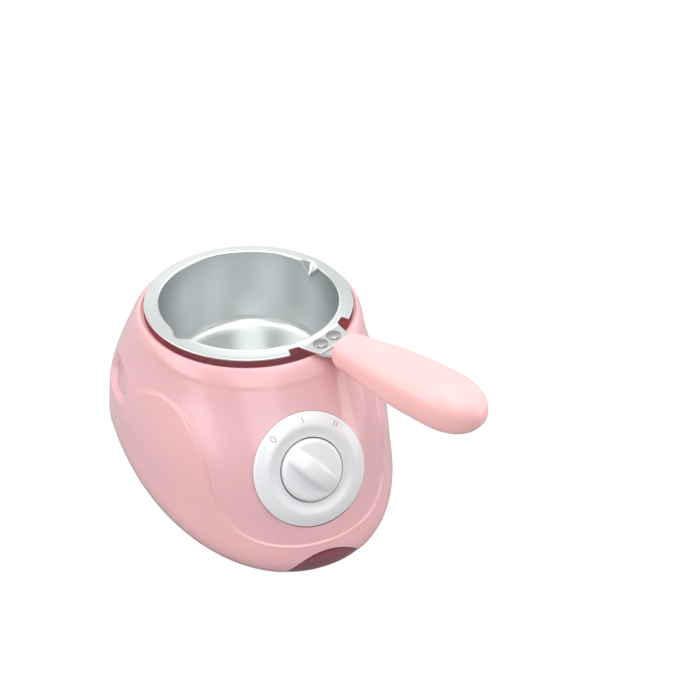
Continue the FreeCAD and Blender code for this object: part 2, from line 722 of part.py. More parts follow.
def make_rubber_feet():
    """The four feet: a pad, a stem through the base plate and a barb over it."""
    parts = []
    for x, y in FOOT_PLACES:
        pad = cylinder(FOOT_R, V(x, y, 0), UP, SHELL_FOOT[0])
        stem = cylinder(FOOT_STEM_R, V(x, y, 0), UP, BASE_TOP + FOOT_BARB_T)
        barb = Part.makeCone(FOOT_BARB_R, FOOT_STEM_R, FOOT_BARB_T, V(x, y, BASE_TOP), UP)
        parts.append(pad.fuse(stem).fuse(barb).removeSplitter())
    return Part.Compound(parts)


def make_cord_bush():
    """The gland in the rear wall, with an outer flange and a barb inside."""
    face = CORD_WALL_Y + CASE_GAP
    start = face + BUSH_FLANGE_T - BUSH_L
    flange = cylinder(BUSH_FLANGE_R, V(0, face, CORD_Z), BACK, BUSH_FLANGE_T)
    rim = [edge for edge in flange.Edges if edge.BoundBox.YMin > face + BUSH_FLANGE_T - 0.01]
    flange = flange.makeFillet(0.8, rim)
    sleeve = cylinder(BUSH_R, V(0, start, CORD_Z), BACK, BUSH_L - 1)
    inner = CORD_WALL_Y - WALL - 2 * CASE_GAP - BUSH_BARB_T
    barb = Part.makeCone(BUSH_R, BUSH_BARB_R, BUSH_BARB_T, V(0, inner, CORD_Z), BACK)
    bush = flange.fuse(sleeve).fuse(barb)
    return bush.cut(cylinder(CORD_HOLE_R, V(0, start - 1, CORD_Z), BACK, BUSH_L + 2)).removeSplitter()


def make_cord_clamp():
    """The saddle over the cord's cradle."""
    foot = cradle_top()
    bar = block(-CLAMP_HALF, CLAMP_HALF, CLAMP_Y, CLAMP_Y + CLAMP_L, foot, foot + CLAMP_T)
    bar = bar.fuse(cylinder(CORD_HOLE_R + 2, V(0, CLAMP_Y, CORD_Z), BACK, CLAMP_L)
                   .common(block(-CLAMP_HALF, CLAMP_HALF, CLAMP_Y, CLAMP_Y + CLAMP_L, foot, foot + 20)))
    bar = bar.cut(cylinder(CORD_HOLE_R, V(0, CLAMP_Y, CORD_Z), BACK, CLAMP_L))
    for side in (-1, 1):
        place = V(side * CLAMP_SCREW_X, CLAMP_Y + CLAMP_L / 2, foot)
        bar = bar.cut(cylinder(CLAMP_SCREW_R + LOOSE_FIT, place, UP, 20))
    return bar.removeSplitter()


def make_clamp_screws():
    """The two screws of the saddle."""
    parts = []
    for side in (-1, 1):
        place = V(side * CLAMP_SCREW_X, CLAMP_Y + CLAMP_L / 2, cradle_top() + CLAMP_T)
        parts.append(screw(place, UP * -1, CLAMP_SCREW_R - RUN_FIT, CLAMP_T + 6, CLAMP_HEAD_R, CLAMP_HEAD_T))
    return Part.Compound(parts)


def make_terminal_block():
    """The three-way block on the base plate, with wire holes and screw wells."""
    top = BASE_TOP + BLOCK_H
    middle = BLOCK_Y + BLOCK_W / 2
    body = block(-BLOCK_L / 2, BLOCK_L / 2, BLOCK_Y, BLOCK_Y + BLOCK_W, BASE_TOP, BASE_TOP + BLOCK_BASE_H)
    for i in range(BLOCK_WAYS):
        x = (i - (BLOCK_WAYS - 1) / 2) * BLOCK_PITCH
        body = body.fuse(block(x - BLOCK_TOWER_HALF, x + BLOCK_TOWER_HALF, BLOCK_Y + 1, BLOCK_Y + BLOCK_W - 1,
                               BASE_TOP + 1, top))
        for y in (middle - BLOCK_SCREW_Y, middle + BLOCK_SCREW_Y):
            body = body.cut(cylinder(BLOCK_SCREW_R, V(x, y, top - BLOCK_WELL), UP, BLOCK_WELL + 1))
        wire = V(x, BLOCK_Y - 1, BASE_TOP + BLOCK_BASE_H / 2)
        body = body.cut(cylinder(BLOCK_WIRE_R, wire, BACK, BLOCK_W + 2))
    return body.removeSplitter()


# Pot, bracket and handle

def rim_height(radius):
    """The height of the rim's upper face where it slopes."""
    return RIM_TOP - (RIM_TOP - RIM_EDGE_TOP) * (radius - POT_R) / (RIM_FLAT_R - POT_R)


def rim_outline(z0, z1):
    """The rim and its tongue seen from above, with a notch on each side of the tongue."""
    far = TONGUE_R + 5
    tongue = plate([(-TONGUE_ROOT, -TONGUE_R, 0), (TONGUE_ROOT, -TONGUE_R, 0), (TONGUE_ROOT, 0, 0),
                    (-TONGUE_ROOT, 0, 0)], z0, z1)
    form = cylinder(RIM_R, V(0, 0, z0), UP, z1 - z0).fuse(tongue)
    flare = (TONGUE_ROOT - TONGUE_HALF) / (TONGUE_R - NOTCH_R * cos(radians(NOTCH_NEAR_ANGLE)))
    end_angle = radians(NOTCH_FAR_ANGLE)
    edge = [(TONGUE_HALF - flare * (far - TONGUE_R), -far, 0),
            (TONGUE_ROOT, -NOTCH_R * cos(radians(NOTCH_NEAR_ANGLE)), NOTCH_CORNER),
            (NOTCH_R * sin(end_angle), -NOTCH_R * cos(end_angle), NOTCH_CORNER),
            (far * sin(end_angle), -far * cos(end_angle), 0)]
    for side in (-1, 1):
        notch = plate([(side * x, y, corner) for x, y, corner in edge[::side]], z0 - 1, z1 + 1)
        form = form.cut(notch)
    corners = [e for e in form.Edges if e.BoundBox.YMax < 0.01 - TONGUE_R and e.BoundBox.ZLength > z1 - z0 - 0.01]
    return along_handle(form.makeFillet(NOTCH_CORNER, corners))


def make_pot_bowl():
    """The pressed pot: floor, wall, sloping rim, two pouring lips, the tongue and its notches."""
    foot = HOTPLATE_TOP + POT_CLEAR
    wall_r = POT_R + POT_WALL
    reach = TONGUE_R + 1
    outer = turned([
        (0, foot, 0), (POT_FLOOR_R + POT_WALL, foot, POT_CORNER),
        (wall_r, rim_height(wall_r) - RIM_T, 0), (RIM_FLAT_R, TONGUE_FOOT, 0), (reach, TONGUE_FOOT, 0),
        (reach, TONGUE_TOP, 0), (RIM_FLAT_R, TONGUE_TOP, 0), (POT_R, RIM_TOP, 0), (0, RIM_TOP, 0)])
    cavity = turned([
        (0, foot + POT_WALL, 0), (POT_FLOOR_R, foot + POT_WALL, POT_CORNER - POT_WALL),
        (POT_R, RIM_TOP - RIM_T, RIM_ROLL / 2), (POT_R + RIM_ROLL, RIM_TOP + RUN_FIT, 0),
        (0, RIM_TOP + RUN_FIT, 0)])
    over_rim = turned([
        (0, RIM_TOP, 0), (POT_R, RIM_TOP, 0), (RIM_FLAT_R, RIM_EDGE_TOP, 0), (reach, RIM_EDGE_TOP, 0),
        (reach, RIM_TOP + SPOUT_DROP, 0), (0, RIM_TOP + SPOUT_DROP, 0)])
    for side in (-1, 1):
        outer = outer.fuse(place_spout(spout_form(POT_WALL), side))
        cavity = cavity.fuse(place_spout(spout_form(0.0), side))
    outer = outer.cut(over_rim)
    pad = (-TONGUE_ROOT, TONGUE_ROOT, -TONGUE_R - 1, -TONGUE_FLAT_R)
    outer = outer.cut(along_handle(block(*pad, TONGUE_TOP, RIM_TOP + 1)))
    outer = outer.fuse(along_handle(block(*pad, TONGUE_FOOT, TONGUE_TOP)))
    bowl = outer.common(rim_outline(foot - 1, RIM_TOP + 1)).cut(cavity)
    for place in rivet_places():
        bowl = bowl.cut(cylinder(RIVET_R + RUN_FIT, place + UP * (TONGUE_FOOT - 1), UP, 10))
    return bowl


def spout_form(grow):
    """One pouring lip: a three-sided pyramid that opens from a point on the wall up to the rim."""
    point = V(POT_R - SPOUT_SET_IN, 0, RIM_TOP - SPOUT_DROP - SPOUT_SET_IN * grow)
    roof = RIM_TOP + 3 * RIM_T
    stretch = (roof - point.z) / (RIM_TOP - point.z)
    half = (SPOUT_HALF + grow) * stretch
    keel = V(point.x + (POT_R + SPOUT_REACH + grow - point.x) * stretch, 0, roof)
    left, right = V(point.x, -half, roof), V(point.x, half, roof)
    triangles = [(point, keel, left), (point, right, keel), (point, left, right), (left, keel, right)]
    faces = [Part.Face(Part.makePolygon([a, b, c, a])) for a, b, c in triangles]
    return Part.Solid(Part.Shell(faces))


def place_spout(shape, side):
    """Turns a pouring lip a quarter turn from the handle, to one side."""
    place = FreeCAD.Placement(V(0, 0, 0), FreeCAD.Rotation(UP, HANDLE_ANGLE - 90 + side * 90))
    return shape.transformed(place.toMatrix(), copy=True)


def rivet_places():
    """The two rivets through the tongue and the bracket."""
    places = []
    for side in (-1, 1):
        spot = FreeCAD.Rotation(UP, HANDLE_ANGLE).multVec(V(side * RIVET_SIDE, -RIVET_PCD_R, 0))
        places.append(spot)
    return places


def tang_profile(grow):
    """The bracket's side view: flat under the tongue, then rising along the handle."""
    top = TONGUE_FOOT + grow
    low = TONGUE_FOOT - BRACKET_T - grow
    rise = tan(radians(HANDLE_RISE)) * (TANG_END_R + grow - BRACKET_BEND_R)
    end = -TANG_END_R - grow
    return [(-BRACKET_IN_R, low), (-BRACKET_IN_R, top), (-BRACKET_BEND_R, top), (end, top + rise),
            (end, low + rise), (-BRACKET_BEND_R, low)]


def bracket_strip(grow, half):
    """A strip of the bracket's side view, half as wide on each side of the handle's axis."""
    wire = rounded_wire([(V(-half, y, z), 0) for y, z in tang_profile(grow)])
    return Part.Face(wire).extrude(V(2 * half, 0, 0))


def make_handle_bracket():
    """The strip from under the tongue into the handle."""
    strip = bracket_strip(0.0, TONGUE_HALF)
    neck = HANDLE_START - SEAT_GAP
    shoulder = TONGUE_R - BRACKET_T
    half = TONGUE_HALF - 2 * LOOSE_FIT
    right = [(half, -BRACKET_IN_R, BRACKET_CORNER / 2), (half, -shoulder, BRACKET_CORNER),
             (BRACKET_NECK_HALF, -neck + BRACKET_CORNER, BRACKET_CORNER / 2), (TANG_HALF, -neck, 0),
             (TANG_HALF, -TANG_END_R, BRACKET_CORNER)]
    left = [(-x, y, corner) for x, y, corner in reversed(right)]
    outline = plate(right + left, TONGUE_FOOT - THROUGH / 2, TONGUE_FOOT + THROUGH / 2)
    strip = along_handle(strip.common(outline))
    for place in rivet_places():
        strip = strip.cut(cylinder(RIVET_R + RUN_FIT, place + UP * (TONGUE_FOOT - THROUGH / 2), UP, THROUGH))
    hole = cylinder(HANDLE_SCREW_R + RUN_FIT, handle_screw_place(), UP, THROUGH / 2)
    return strip.cut(along_handle(hole))


def make_bracket_rivets():
    """The two domed rivets."""
    parts = []
    for place in rivet_places():
        dome_r = (RIVET_HEAD_R ** 2 + RIVET_HEAD_T ** 2) / (2 * RIVET_HEAD_T)
        ball = Part.makeSphere(dome_r, place + UP * (TONGUE_TOP + RIVET_HEAD_T - dome_r))
        head = ball.common(cylinder(RIVET_HEAD_R, place + UP * TONGUE_TOP, UP, 4))
        foot = TONGUE_FOOT - BRACKET_T
        shank = cylinder(RIVET_R, place + UP * foot, UP, TONGUE_TOP - foot)
        tail = cylinder(RIVET_R + RIVET_FOOT_W, place + UP * (foot - RIVET_FOOT_T), UP, RIVET_FOOT_T)
        parts.append(head.fuse(shank).fuse(tail).removeSplitter())
    return Part.Compound(parts)


def handle_frame(shape):
    """Puts a shape made along +Z at the handle's start, leaning along the handle."""
    lean = FreeCAD.Rotation(RIGHT, 90 - HANDLE_RISE)
    return along_handle(shape.transformed(
        FreeCAD.Placement(V(0, -HANDLE_START, HANDLE_AXIS_Z), lean).toMatrix(), copy=True))


def oval_wire(width, height, along):
    """One section of the handle: a superellipse, a little squarer than an ellipse."""
    points = []
    count = 16
    for i in range(count):
        angle = 2 * pi * i / count
        c, s = cos(angle), sin(angle)
        swell = (abs(c) ** HANDLE_POWER + abs(s) ** HANDLE_POWER) ** (-1 / HANDLE_POWER)
        points.append(V(width / 2 * swell * c, height / 2 * swell * s, along))
    curve = Part.BSplineCurve()
    curve.interpolate(Points=points, PeriodicFlag=True)
    return Part.Wire(curve.toShape())


def handle_screw_place():
    """The screw's head seat, up from the handle's underside."""
    return V(0, -HANDLE_START - HANDLE_SCREW_AT, TONGUE_FOOT - HANDLE_SCREW_DEPTH)


def make_handle():
    """The moulded handle, with the slot for the tang and the screw's well."""
    wires = [oval_wire(width, height, along) for along, width, height in HANDLE_STATIONS]
    tip = Part.Vertex(V(0, 0, HANDLE_LENGTH))
    form = handle_frame(Part.makeLoft(wires + [tip], True, False))
    form = form.cut(along_handle(bracket_strip(SEAT_GAP, TANG_HALF + SEAT_GAP)))
    seat = handle_screw_place()
    well = cylinder(HANDLE_SCREW_HEAD_R + LOOSE_FIT, seat - UP * THROUGH, UP, THROUGH)
    pilot = cylinder(HANDLE_SCREW_R + RUN_FIT, seat, UP, HANDLE_SCREW_L + 1)
    return form.cut(along_handle(well)).cut(along_handle(pilot))


def make_handle_screw():
    """The screw up through the tang."""
    return along_handle(screw(handle_screw_place(), UP, HANDLE_SCREW_R, HANDLE_SCREW_L,
                              HANDLE_SCREW_HEAD_R, HANDLE_SCREW_HEAD_T))


PARTS = {
    "housing": make_housing, "well_liner": make_well_liner, "plate_gasket": make_plate_gasket,
    "heating_plate": make_heating_plate, "heating_element": make_heating_element,
    "heater_retainer": make_heater_retainer, "retainer_screws": make_retainer_screws,
    "thermal_fuse": make_thermal_fuse, "fuse_clip": make_fuse_clip, "dial_plate": make_dial_plate,
    "knob": make_knob, "switch_shaft": make_switch_shaft, "switch_body": make_switch_body,
    "switch_nut": make_switch_nut, "half_power_diode": make_half_power_diode,
    "indicator_lens": make_indicator_lens, "lamp_holder": make_lamp_holder,
    "indicator_lamp": make_indicator_lamp, "base_plate": make_base_plate, "base_screws": make_base_screws,
    "rubber_feet": make_rubber_feet, "cord_bush": make_cord_bush, "cord_clamp": make_cord_clamp,
    "clamp_screws": make_clamp_screws, "terminal_block": make_terminal_block, "pot_bowl": make_pot_bowl,
    "handle_bracket": make_handle_bracket, "bracket_rivets": make_bracket_rivets, "handle": make_handle,
    "handle_screw": make_handle_screw,
}

os.makedirs("parts", exist_ok=True)
for node, make in PARTS.items():
    save(node, make())
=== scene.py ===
"""Dresses the chocolate melting pot: an egg-shaped base with a dial, and a metal pot with a handle."""
import json

import bmesh
import bpy
import numpy as np
from bpy.props import FloatProperty, FloatVectorProperty, PointerProperty
from mathutils import Matrix, Vector


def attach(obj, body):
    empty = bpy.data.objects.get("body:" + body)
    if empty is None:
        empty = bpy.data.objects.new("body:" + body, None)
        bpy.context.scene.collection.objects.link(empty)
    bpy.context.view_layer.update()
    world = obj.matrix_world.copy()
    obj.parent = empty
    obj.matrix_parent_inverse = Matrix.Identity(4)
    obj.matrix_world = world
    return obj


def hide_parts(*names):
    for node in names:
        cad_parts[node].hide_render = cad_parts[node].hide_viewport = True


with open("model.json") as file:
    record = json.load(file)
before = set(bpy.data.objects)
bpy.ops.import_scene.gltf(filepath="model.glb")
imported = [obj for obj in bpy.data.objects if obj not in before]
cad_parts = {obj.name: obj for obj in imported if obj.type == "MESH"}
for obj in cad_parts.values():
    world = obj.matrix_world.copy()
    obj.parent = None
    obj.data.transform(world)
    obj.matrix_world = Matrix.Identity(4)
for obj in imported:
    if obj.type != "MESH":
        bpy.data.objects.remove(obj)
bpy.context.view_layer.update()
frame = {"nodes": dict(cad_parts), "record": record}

bl_info = {
    "name": "Chocolate Melting Pot",
    "version": (1, 0, 0),
    "blender": (4, 5, 0),
    "location": "View3D > Sidebar > Melting Pot",
    "description": "Builds the visible skin of a small chocolate melting pot over its packed frame",
    "category": "Add Mesh",
}

MM = 0.001
SHARP_ANGLE = 40

# Shell sections: height, reach to the front, half width, reach to the back
STATIONS = np.array([
    (1.5, 103.5, 71.8, 74.5), (10.0, 110.0, 73.6, 75.0), (24.0, 106.3, 73.0, 75.0),
    (41.0, 98.7, 71.2, 74.0), (59.0, 88.8, 66.8, 71.0), (75.0, 73.0, 61.8, 65.0),
    (91.2, 57.0, 57.0, 57.0)])
FOOT_Z = 1.5
LIP_TOP = 91.2
LIP_ROLL = 6.0
EGG_SHIFT = 29.0
EGG_POWER = 0.1
WALL = 2.6
# The panel's line from the middle of the front: distance from the middle, height
PANEL_LINE = np.array([
    (0.0, 23.3), (24.0, 23.6), (36.0, 26.0), (41.8, 32.0), (44.6, 42.0), (45.7, 54.0), (47.4, 62.5),
    (49.6, 68.4), (53.4, 70.7), (57.0, 69.8), (60.5, 66.4), (64.5, 60.0), (70.0, 50.0)])
CORD_Z = 13
CORD_HOLE_R = 5.65
WINDOW_HALF = 22.0
WINDOW_TOP = 19.5
WINDOW_RISE = WINDOW_TOP - FOOT_Z
WINDOW_R = (WINDOW_HALF ** 2 + WINDOW_RISE ** 2) / (2 * WINDOW_RISE)
DIAL_PLACE = np.array((0.0, -88.2, 53.0))
DIAL_TILT = np.radians(32.5)
DIAL_AXES = np.array(((1, 0, 0), (0, np.sin(DIAL_TILT), np.cos(DIAL_TILT)),
                      (0, -np.cos(DIAL_TILT), np.sin(DIAL_TILT))))
DIAL_R = 27.3
DIAL_EDGE_H = -1.4
DIAL_BACK = -6.9
NECK_R = 4.8
KNOB_R = 14.8
KNOB_WELL_R = 15.1
# Angles of the marks 0, I and II on the dial, and how many strokes each has
MARKS = ((130.0, 0), (90.0, 1), (50.0, 2))
MARK_R = 24.0
# Half width, half height and stroke of the nought, and half width and half height of a bar
NOUGHT = (1.2, 1.6, 0.5)
BAR = (0.3, 1.4)
BAR_SPACING = 1.5
MARK_SUNK = 0.1
MARK_PROUD = 0.04
POT_R = 45.6
RIM_TOP = 95.4
RIM_EDGE_TOP = 94.5
RIM_FLAT_R = 51.8
RIM_R = 53.0
# The notches beside the handle: how near the axis they reach, and their angles from the handle
NOTCH_R = 49.2
NOTCH_NEAR = 16.5
NOTCH_FAR = 23.0
SPOUT_DROP = 10.5
SPOUT_SET_IN = 1.5
SPOUT_REACH = 4.4
SPOUT_HALF = 9.2
RIVET_SIDE = 4.7
HANDLE_TURN = np.radians(26.0)
HANDLE_START = 62.7
HANDLE_Z = 94.4


# Numbers on curves and surfaces

def smooth_step(t):
    """Rises from 0 to 1 as t goes from 0 to 1: three t squared less two t cubed."""
    t = np.clip(t, 0, 1)
    return t * t * (3 - 2 * t)


def smooth_max(a, b, k):
    """The larger of a and b, with the crease between them rounded over k."""
    h = np.clip(0.5 + 0.5 * (a - b) / k, 0, 1)
    return b + (a - b) * h + k * h * (1 - h)


def spline(x, y, q):
    """A natural cubic spline through the points (x, y), read at q: the second slopes solve the
    usual three-term equations, and each span is its cubic between two of them."""
    x, y, q = (np.asarray(v, float) for v in (x, y, q))
    n = len(x)
    h = np.diff(x)
    rows = np.eye(n)
    right = np.zeros((n,) + y.shape[1:])
    for i in range(1, n - 1):
        rows[i, i - 1:i + 2] = h[i - 1], 2 * (h[i - 1] + h[i]), h[i]
        right[i] = 6 * ((y[i + 1] - y[i]) / h[i] - (y[i] - y[i - 1]) / h[i - 1])
    m = np.linalg.solve(rows, right)
    i = np.clip(np.searchsorted(x, q) - 1, 0, n - 2)
    shape = q.shape + (1,) * (y.ndim - 1)
    a, b, w = (x[i + 1] - q).reshape(shape), (q - x[i]).reshape(shape), h[i].reshape(shape)
    curved = (m[i] * a ** 3 + m[i + 1] * b ** 3) / (6 * w)
    return curved + (y[i] / w - m[i] * w / 6) * a + (y[i + 1] / w - m[i + 1] * w / 6) * b


def to_dial(x, y, h):
    """Points given across, up and out of the dial, in the object's frame."""
    local = np.stack(np.broadcast_arrays(x, y, h), axis=-1)
    return DIAL_PLACE + local @ DIAL_AXES


def turn(points, angle):
    """Points turned about the pot's axis by an angle."""
    c, s = np.cos(angle), np.sin(angle)
    return points @ np.array(((c, s, 0), (-s, c, 0), (0, 0, 1.0)))


# Meshes

def grid_faces(rows, columns, wrap_rows, wrap_columns, start):
    """The quads of a grid of points, as four corner numbers each."""
    r = np.arange(rows if wrap_rows else rows - 1)
    c = np.arange(columns if wrap_columns else columns - 1)
    r, c = np.meshgrid(r, c, indexing="ij")
    r1, c1 = (r + 1) % rows, (c + 1) % columns
    quads = np.stack((r * columns + c, r * columns + c1, r1 * columns + c1, r1 * columns + c), axis=-1)
    return quads.reshape(-1, 4) + start


def add_object(name, data):
    """A new object in the scene."""
    thing = bpy.data.objects.new(name, data)
    bpy.context.scene.collection.objects.link(thing)
    return thing


def mesh_piece(name, grids, merge=0.002):
    """One object from grids of points in millimetres, each (points, wrap rows, wrap columns).
    Doubles are merged, the normals point out, and sharp edges stay crisp."""
    points, quads, start = [], [], 0
    for grid, wrap_rows, wrap_columns in grids:
        rows, columns = grid.shape[:2]
        points.append(grid.reshape(-1, 3))
        quads.append(grid_faces(rows, columns, wrap_rows, wrap_columns, start))
        start += rows * columns
    points, quads = np.concatenate(points) * MM, np.concatenate(quads)
    mesh = bpy.data.meshes.new(name)
    mesh.vertices.add(len(points))
    mesh.vertices.foreach_set("co", points.astype(np.float32).ravel())
    mesh.loops.add(quads.size)
    mesh.loops.foreach_set("vertex_index", quads.ravel().astype(np.int32))
    mesh.polygons.add(len(quads))
    mesh.polygons.foreach_set("loop_start", np.arange(0, quads.size, 4, dtype=np.int32))
    mesh.update(calc_edges=True)
    work = bmesh.new()
    work.from_mesh(mesh)
    bmesh.ops.remove_doubles(work, verts=work.verts, dist=merge * MM)
    bmesh.ops.dissolve_degenerate(work, edges=work.edges, dist=merge * MM / 4)
    bmesh.ops.recalc_face_normals(work, faces=work.faces)
    work.to_mesh(mesh)
    work.free()
    soften(mesh, SHARP_ANGLE)
    return add_object(name, mesh)


def soften(mesh, angle):
    """Shades a mesh smooth, with crisp edges where faces meet at more than the angle."""
    mesh.polygons.foreach_set("use_smooth", np.ones(len(mesh.polygons), bool))
    mesh.set_sharp_from_angle(angle=np.radians(angle))


def close_ends(piece):
    """Closes the open ends of a piece's grid."""
    work = bmesh.new()
    work.from_mesh(piece.data)
    bmesh.ops.holes_fill(work, edges=work.edges, sides=0)
    bmesh.ops.recalc_face_normals(work, faces=work.faces)
    work.to_mesh(piece.data)
    work.free()


def carve(piece, cutter, operation):
    """Cuts a piece with a closed cutter, or joins the two, and removes the cutter."""
    tool = piece.modifiers.new("carve", "BOOLEAN")
    tool.operation = operation
    tool.solver = "EXACT"
    tool.object = cutter
    bpy.context.view_layer.update()
    shaped = bpy.data.meshes.new_from_object(piece.evaluated_get(bpy.context.evaluated_depsgraph_get()))
    piece.modifiers.clear()
    old = piece.data
    piece.data = shaped
    bpy.data.meshes.remove(old)
    old = cutter.data
    bpy.data.objects.remove(cutter)
    bpy.data.meshes.remove(old)
    soften(shaped, SHARP_ANGLE)


def full_turn(steps):
    """The angles of one even turn."""
    return np.arange(steps) * 2 * np.pi / steps


def tube_grid(profile, steps):
    """A profile of (radius, height) points turned about an axis, as a grid of local points."""
    profile = np.asarray(profile, float)
    t = full_turn(steps)
    r, h = profile[:, :1], profile[:, 1:]
    return r * np.cos(t), r * np.sin(t), h + 0 * t


def wall_plug(name, steps, z, radius, y_range):
    """A closed round plug along Y at a height, to cut through the front or the rear wall."""
    t = full_turn(steps)
    low, high = y_range
    rows = [np.stack((r * np.cos(t), y + 0 * t, z + r * np.sin(t)), axis=-1)
            for r, y in ((0, low), (radius, low), (radius, high), (0, high))]
    return mesh_piece(name, [(np.array(rows), False, True)])


def arc(cx, cy, radius, a0, a1, count):
    """Points of an arc from angle a0 to a1, in degrees."""
    t = np.radians(np.linspace(a0, a1, count))
    return np.stack((cx + radius * np.cos(t), cy + radius * np.sin(t)), axis=-1)


def finish_piece(piece, body, material, replaced=()):
    """Gives a piece its material and its body, and hides the nodes that it stands for."""
    piece.data.materials.clear()
    piece.data.materials.append(material)
    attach(piece, body)
    if replaced:
        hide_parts(*replaced)


# Shell

def shell_point(angle, z, inset):
    """A point of the egg-shaped shell: two superellipse halves that meet at the widest line, whose
    reaches follow a spline over the height."""
    reach = spline(STATIONS[:, 0], STATIONS[:, 1:], z)
    front, half, back = reach[..., 0], reach[..., 1], reach[..., 2]
    share = z / LIP_TOP
    shift = EGG_SHIFT * (1 - share ** 2)
    power = 2 + EGG_POWER * (1 - share ** 4)
    c, s = np.cos(angle), np.sin(angle)
    swell = (np.abs(c) ** power + np.abs(s) ** power) ** (-1 / power)
    along = np.where(s > 0, back - shift, front + shift)
    x = (half - inset) * swell * c
    y = shift + (along - inset) * swell * s
    return np.stack(np.broadcast_arrays(x, y, z), axis=-1)


def panel_distance(points):
    """How far each point lies inside the front panel's U line, seen from the front, and minus that
    outside it: the signed distance to a spline through the line's points."""
    t = np.linspace(0, len(PANEL_LINE) - 1, 360)
    half = spline(np.arange(len(PANEL_LINE)), PANEL_LINE, t)
    half[:, 0] = np.maximum(half[:, 0], 0)
    tangent = np.gradient(half, axis=0)
    flat = points.reshape(-1, 3)
    found = np.empty(len(flat))
    for i in range(0, len(flat), 4000):
        x, z = np.abs(flat[i:i + 4000, 0]), flat[i:i + 4000, 2]
        dx, dz = x[:, None] - half[:, 0], z[:, None] - half[:, 1]
        near = np.argmin(dx * dx + dz * dz, axis=1)
        row = np.arange(len(near))
        dx, dz = dx[row, near], dz[row, near]
        side = tangent[near, 0] * dz - tangent[near, 1] * dx
        found[i:i + 4000] = np.copysign(np.hypot(dx, dz), side)
    return found.reshape(points.shape[:-1])


def outward(points):
    """The outward normal at each point of a grid whose columns run round and whose rows rise."""
    round_way = np.roll(points, -1, axis=1) - np.roll(points, 1, axis=1)
    normal = np.cross(round_way, np.gradient(points, axis=0))
    return normal / np.maximum(np.linalg.norm(normal, axis=-1, keepdims=True), 1e-9)


def press_panel(points, step, width):
    """Presses the front panel in along the normal, with a soft edge and a fine bead round its line,
    both of which fade out towards the sides."""
    inside = panel_distance(points)
    bead_height, bead_half = 0.15, 0.6
    bead = bead_height * np.exp(-((inside + bead_half * width) / bead_half) ** 2)
    depth = step * smooth_step(inside / width + 0.5) - bead
    front = smooth_step((-points[..., 1] - 10) / 14)
    below_lip = 1 - 0.75 * smooth_step((points[..., 2] - 74) / 14)
    return points - (depth * front * below_lip)[..., None] * outward(points)


def grip_limit(points):
    """Draws the sides in at the finger recesses: no point stands further out than a ring-shaped
    hollow, and the edge between the two is rounded."""
    tube, ring, centre, centre_y, centre_z = 14.0, 16.0, 92.5, 17.0, 52.0
    edge_round = 1.6
    x, y, z = np.abs(points[..., 0]), points[..., 1] - centre_y, points[..., 2] - centre_z
    rho = ring + np.sqrt(np.clip(tube ** 2 - z ** 2, 0, None))
    rho = np.where(np.abs(z) < tube, rho, 0)
    wall = centre - np.sqrt(np.clip(rho ** 2 - y ** 2, 0, None))
    wall = np.where(np.abs(y) < rho, wall, centre)
    new_x = -smooth_max(-x, -wall, edge_round)
    moved = points.copy()
    near = (np.abs(z) < tube) & (np.abs(y) < ring + tube) & (x > 40)
    moved[..., 0] = np.where(near, np.copysign(np.minimum(new_x, x), points[..., 0]), points[..., 0])
    return moved


def dial_seat(points):
    """Draws the shell back to the dial's edge where it would stand in front of it: the limit rises
    with the square of the distance from the edge."""
    local = (points - DIAL_PLACE) @ DIAL_AXES.T
    away = np.clip(np.hypot(local[..., 0], local[..., 1]) - DIAL_R, 0, None)
    limit = DIAL_EDGE_H + 0.3 + 0.035 * away ** 2
    drawn = -smooth_max(-local[..., 2], -limit, 0.9)
    near = (away < 16) & (local[..., 2] > -12)
    return points + np.where(near, drawn - local[..., 2], 0)[..., None] * DIAL_AXES[2]


def spread(spans, end):
    """Values in order from (start, count) spans, each span evenly filled up to the next start."""
    ends = [start for start, _ in spans[1:]] + [end]
    return np.concatenate([np.linspace(start, stop, count, endpoint=False)
                           for (start, count), stop in zip(spans, ends)])


def shell_grid(step, line_width):
    """The whole shell as one ring-shaped grid: up the outside, over the lip, and down the inside. The
    rows and columns are close where the panel's line runs."""
    turns = ((-176.5, 45), (-137, 60), (-124, 75), (-56, 60), (-43, 50), (-3.5, 110))
    angle = np.radians(spread(turns, 183.5))[None, :]
    foot_round, lip_draw = 1.2, 2.0
    bead_r, bead_z, bead_round, inner_r, inner_top = 54.9, 90.45, 0.7, 54.2, 88.6
    t = np.radians(np.linspace(-90, 0, 5))[:, None]
    upright = spread(((3.2, 15), (20.5, 42), (34, 28), (62, 24), (73, 14)), LIP_TOP - LIP_ROLL)[:, None]
    z = np.concatenate((FOOT_Z + foot_round + foot_round * np.sin(t), upright))
    inset = np.concatenate((foot_round * (1 - np.cos(t)), 0 * upright))
    z, inset, wide = z + 0 * angle, inset + 0 * angle, angle + 0 * z
    outside = press_panel(shell_point(wide, z, inset), step, line_width)
    outside = dial_seat(grip_limit(outside))
    top = []
    for k in np.radians(np.linspace(0, 84, 13)):
        height = LIP_TOP - LIP_ROLL * (1 - np.sin(k))
        top.append(shell_point(angle, height + 0 * angle, lip_draw * (1 - np.cos(k)))[0])
    for r, height in np.concatenate((arc(bead_r, bead_z, bead_round, 80, 180, 5), [(inner_r, inner_top)])):
        top.append(np.stack((r * np.cos(angle[0]), r * np.sin(angle[0]), height + 0 * angle[0]), axis=-1))
    heights = (inner_top, 80, 70, 60, 50, 40, 30, 20, 10, FOOT_Z)
    inside = [shell_point(angle, height + 0 * angle, WALL)[0] for height in heights]
    return np.concatenate((outside, np.array(top), grip_limit(np.array(inside))))


def dial_cutter(name, radius, low, high):
    """A closed round plug along the dial's axis."""
    profile = [(0, low), (radius, low), (radius, high), (0, high)]
    x, y, h = tube_grid(profile, 256)
    return mesh_piece(name, [(to_dial(x, y, h), False, True)])


# Dial

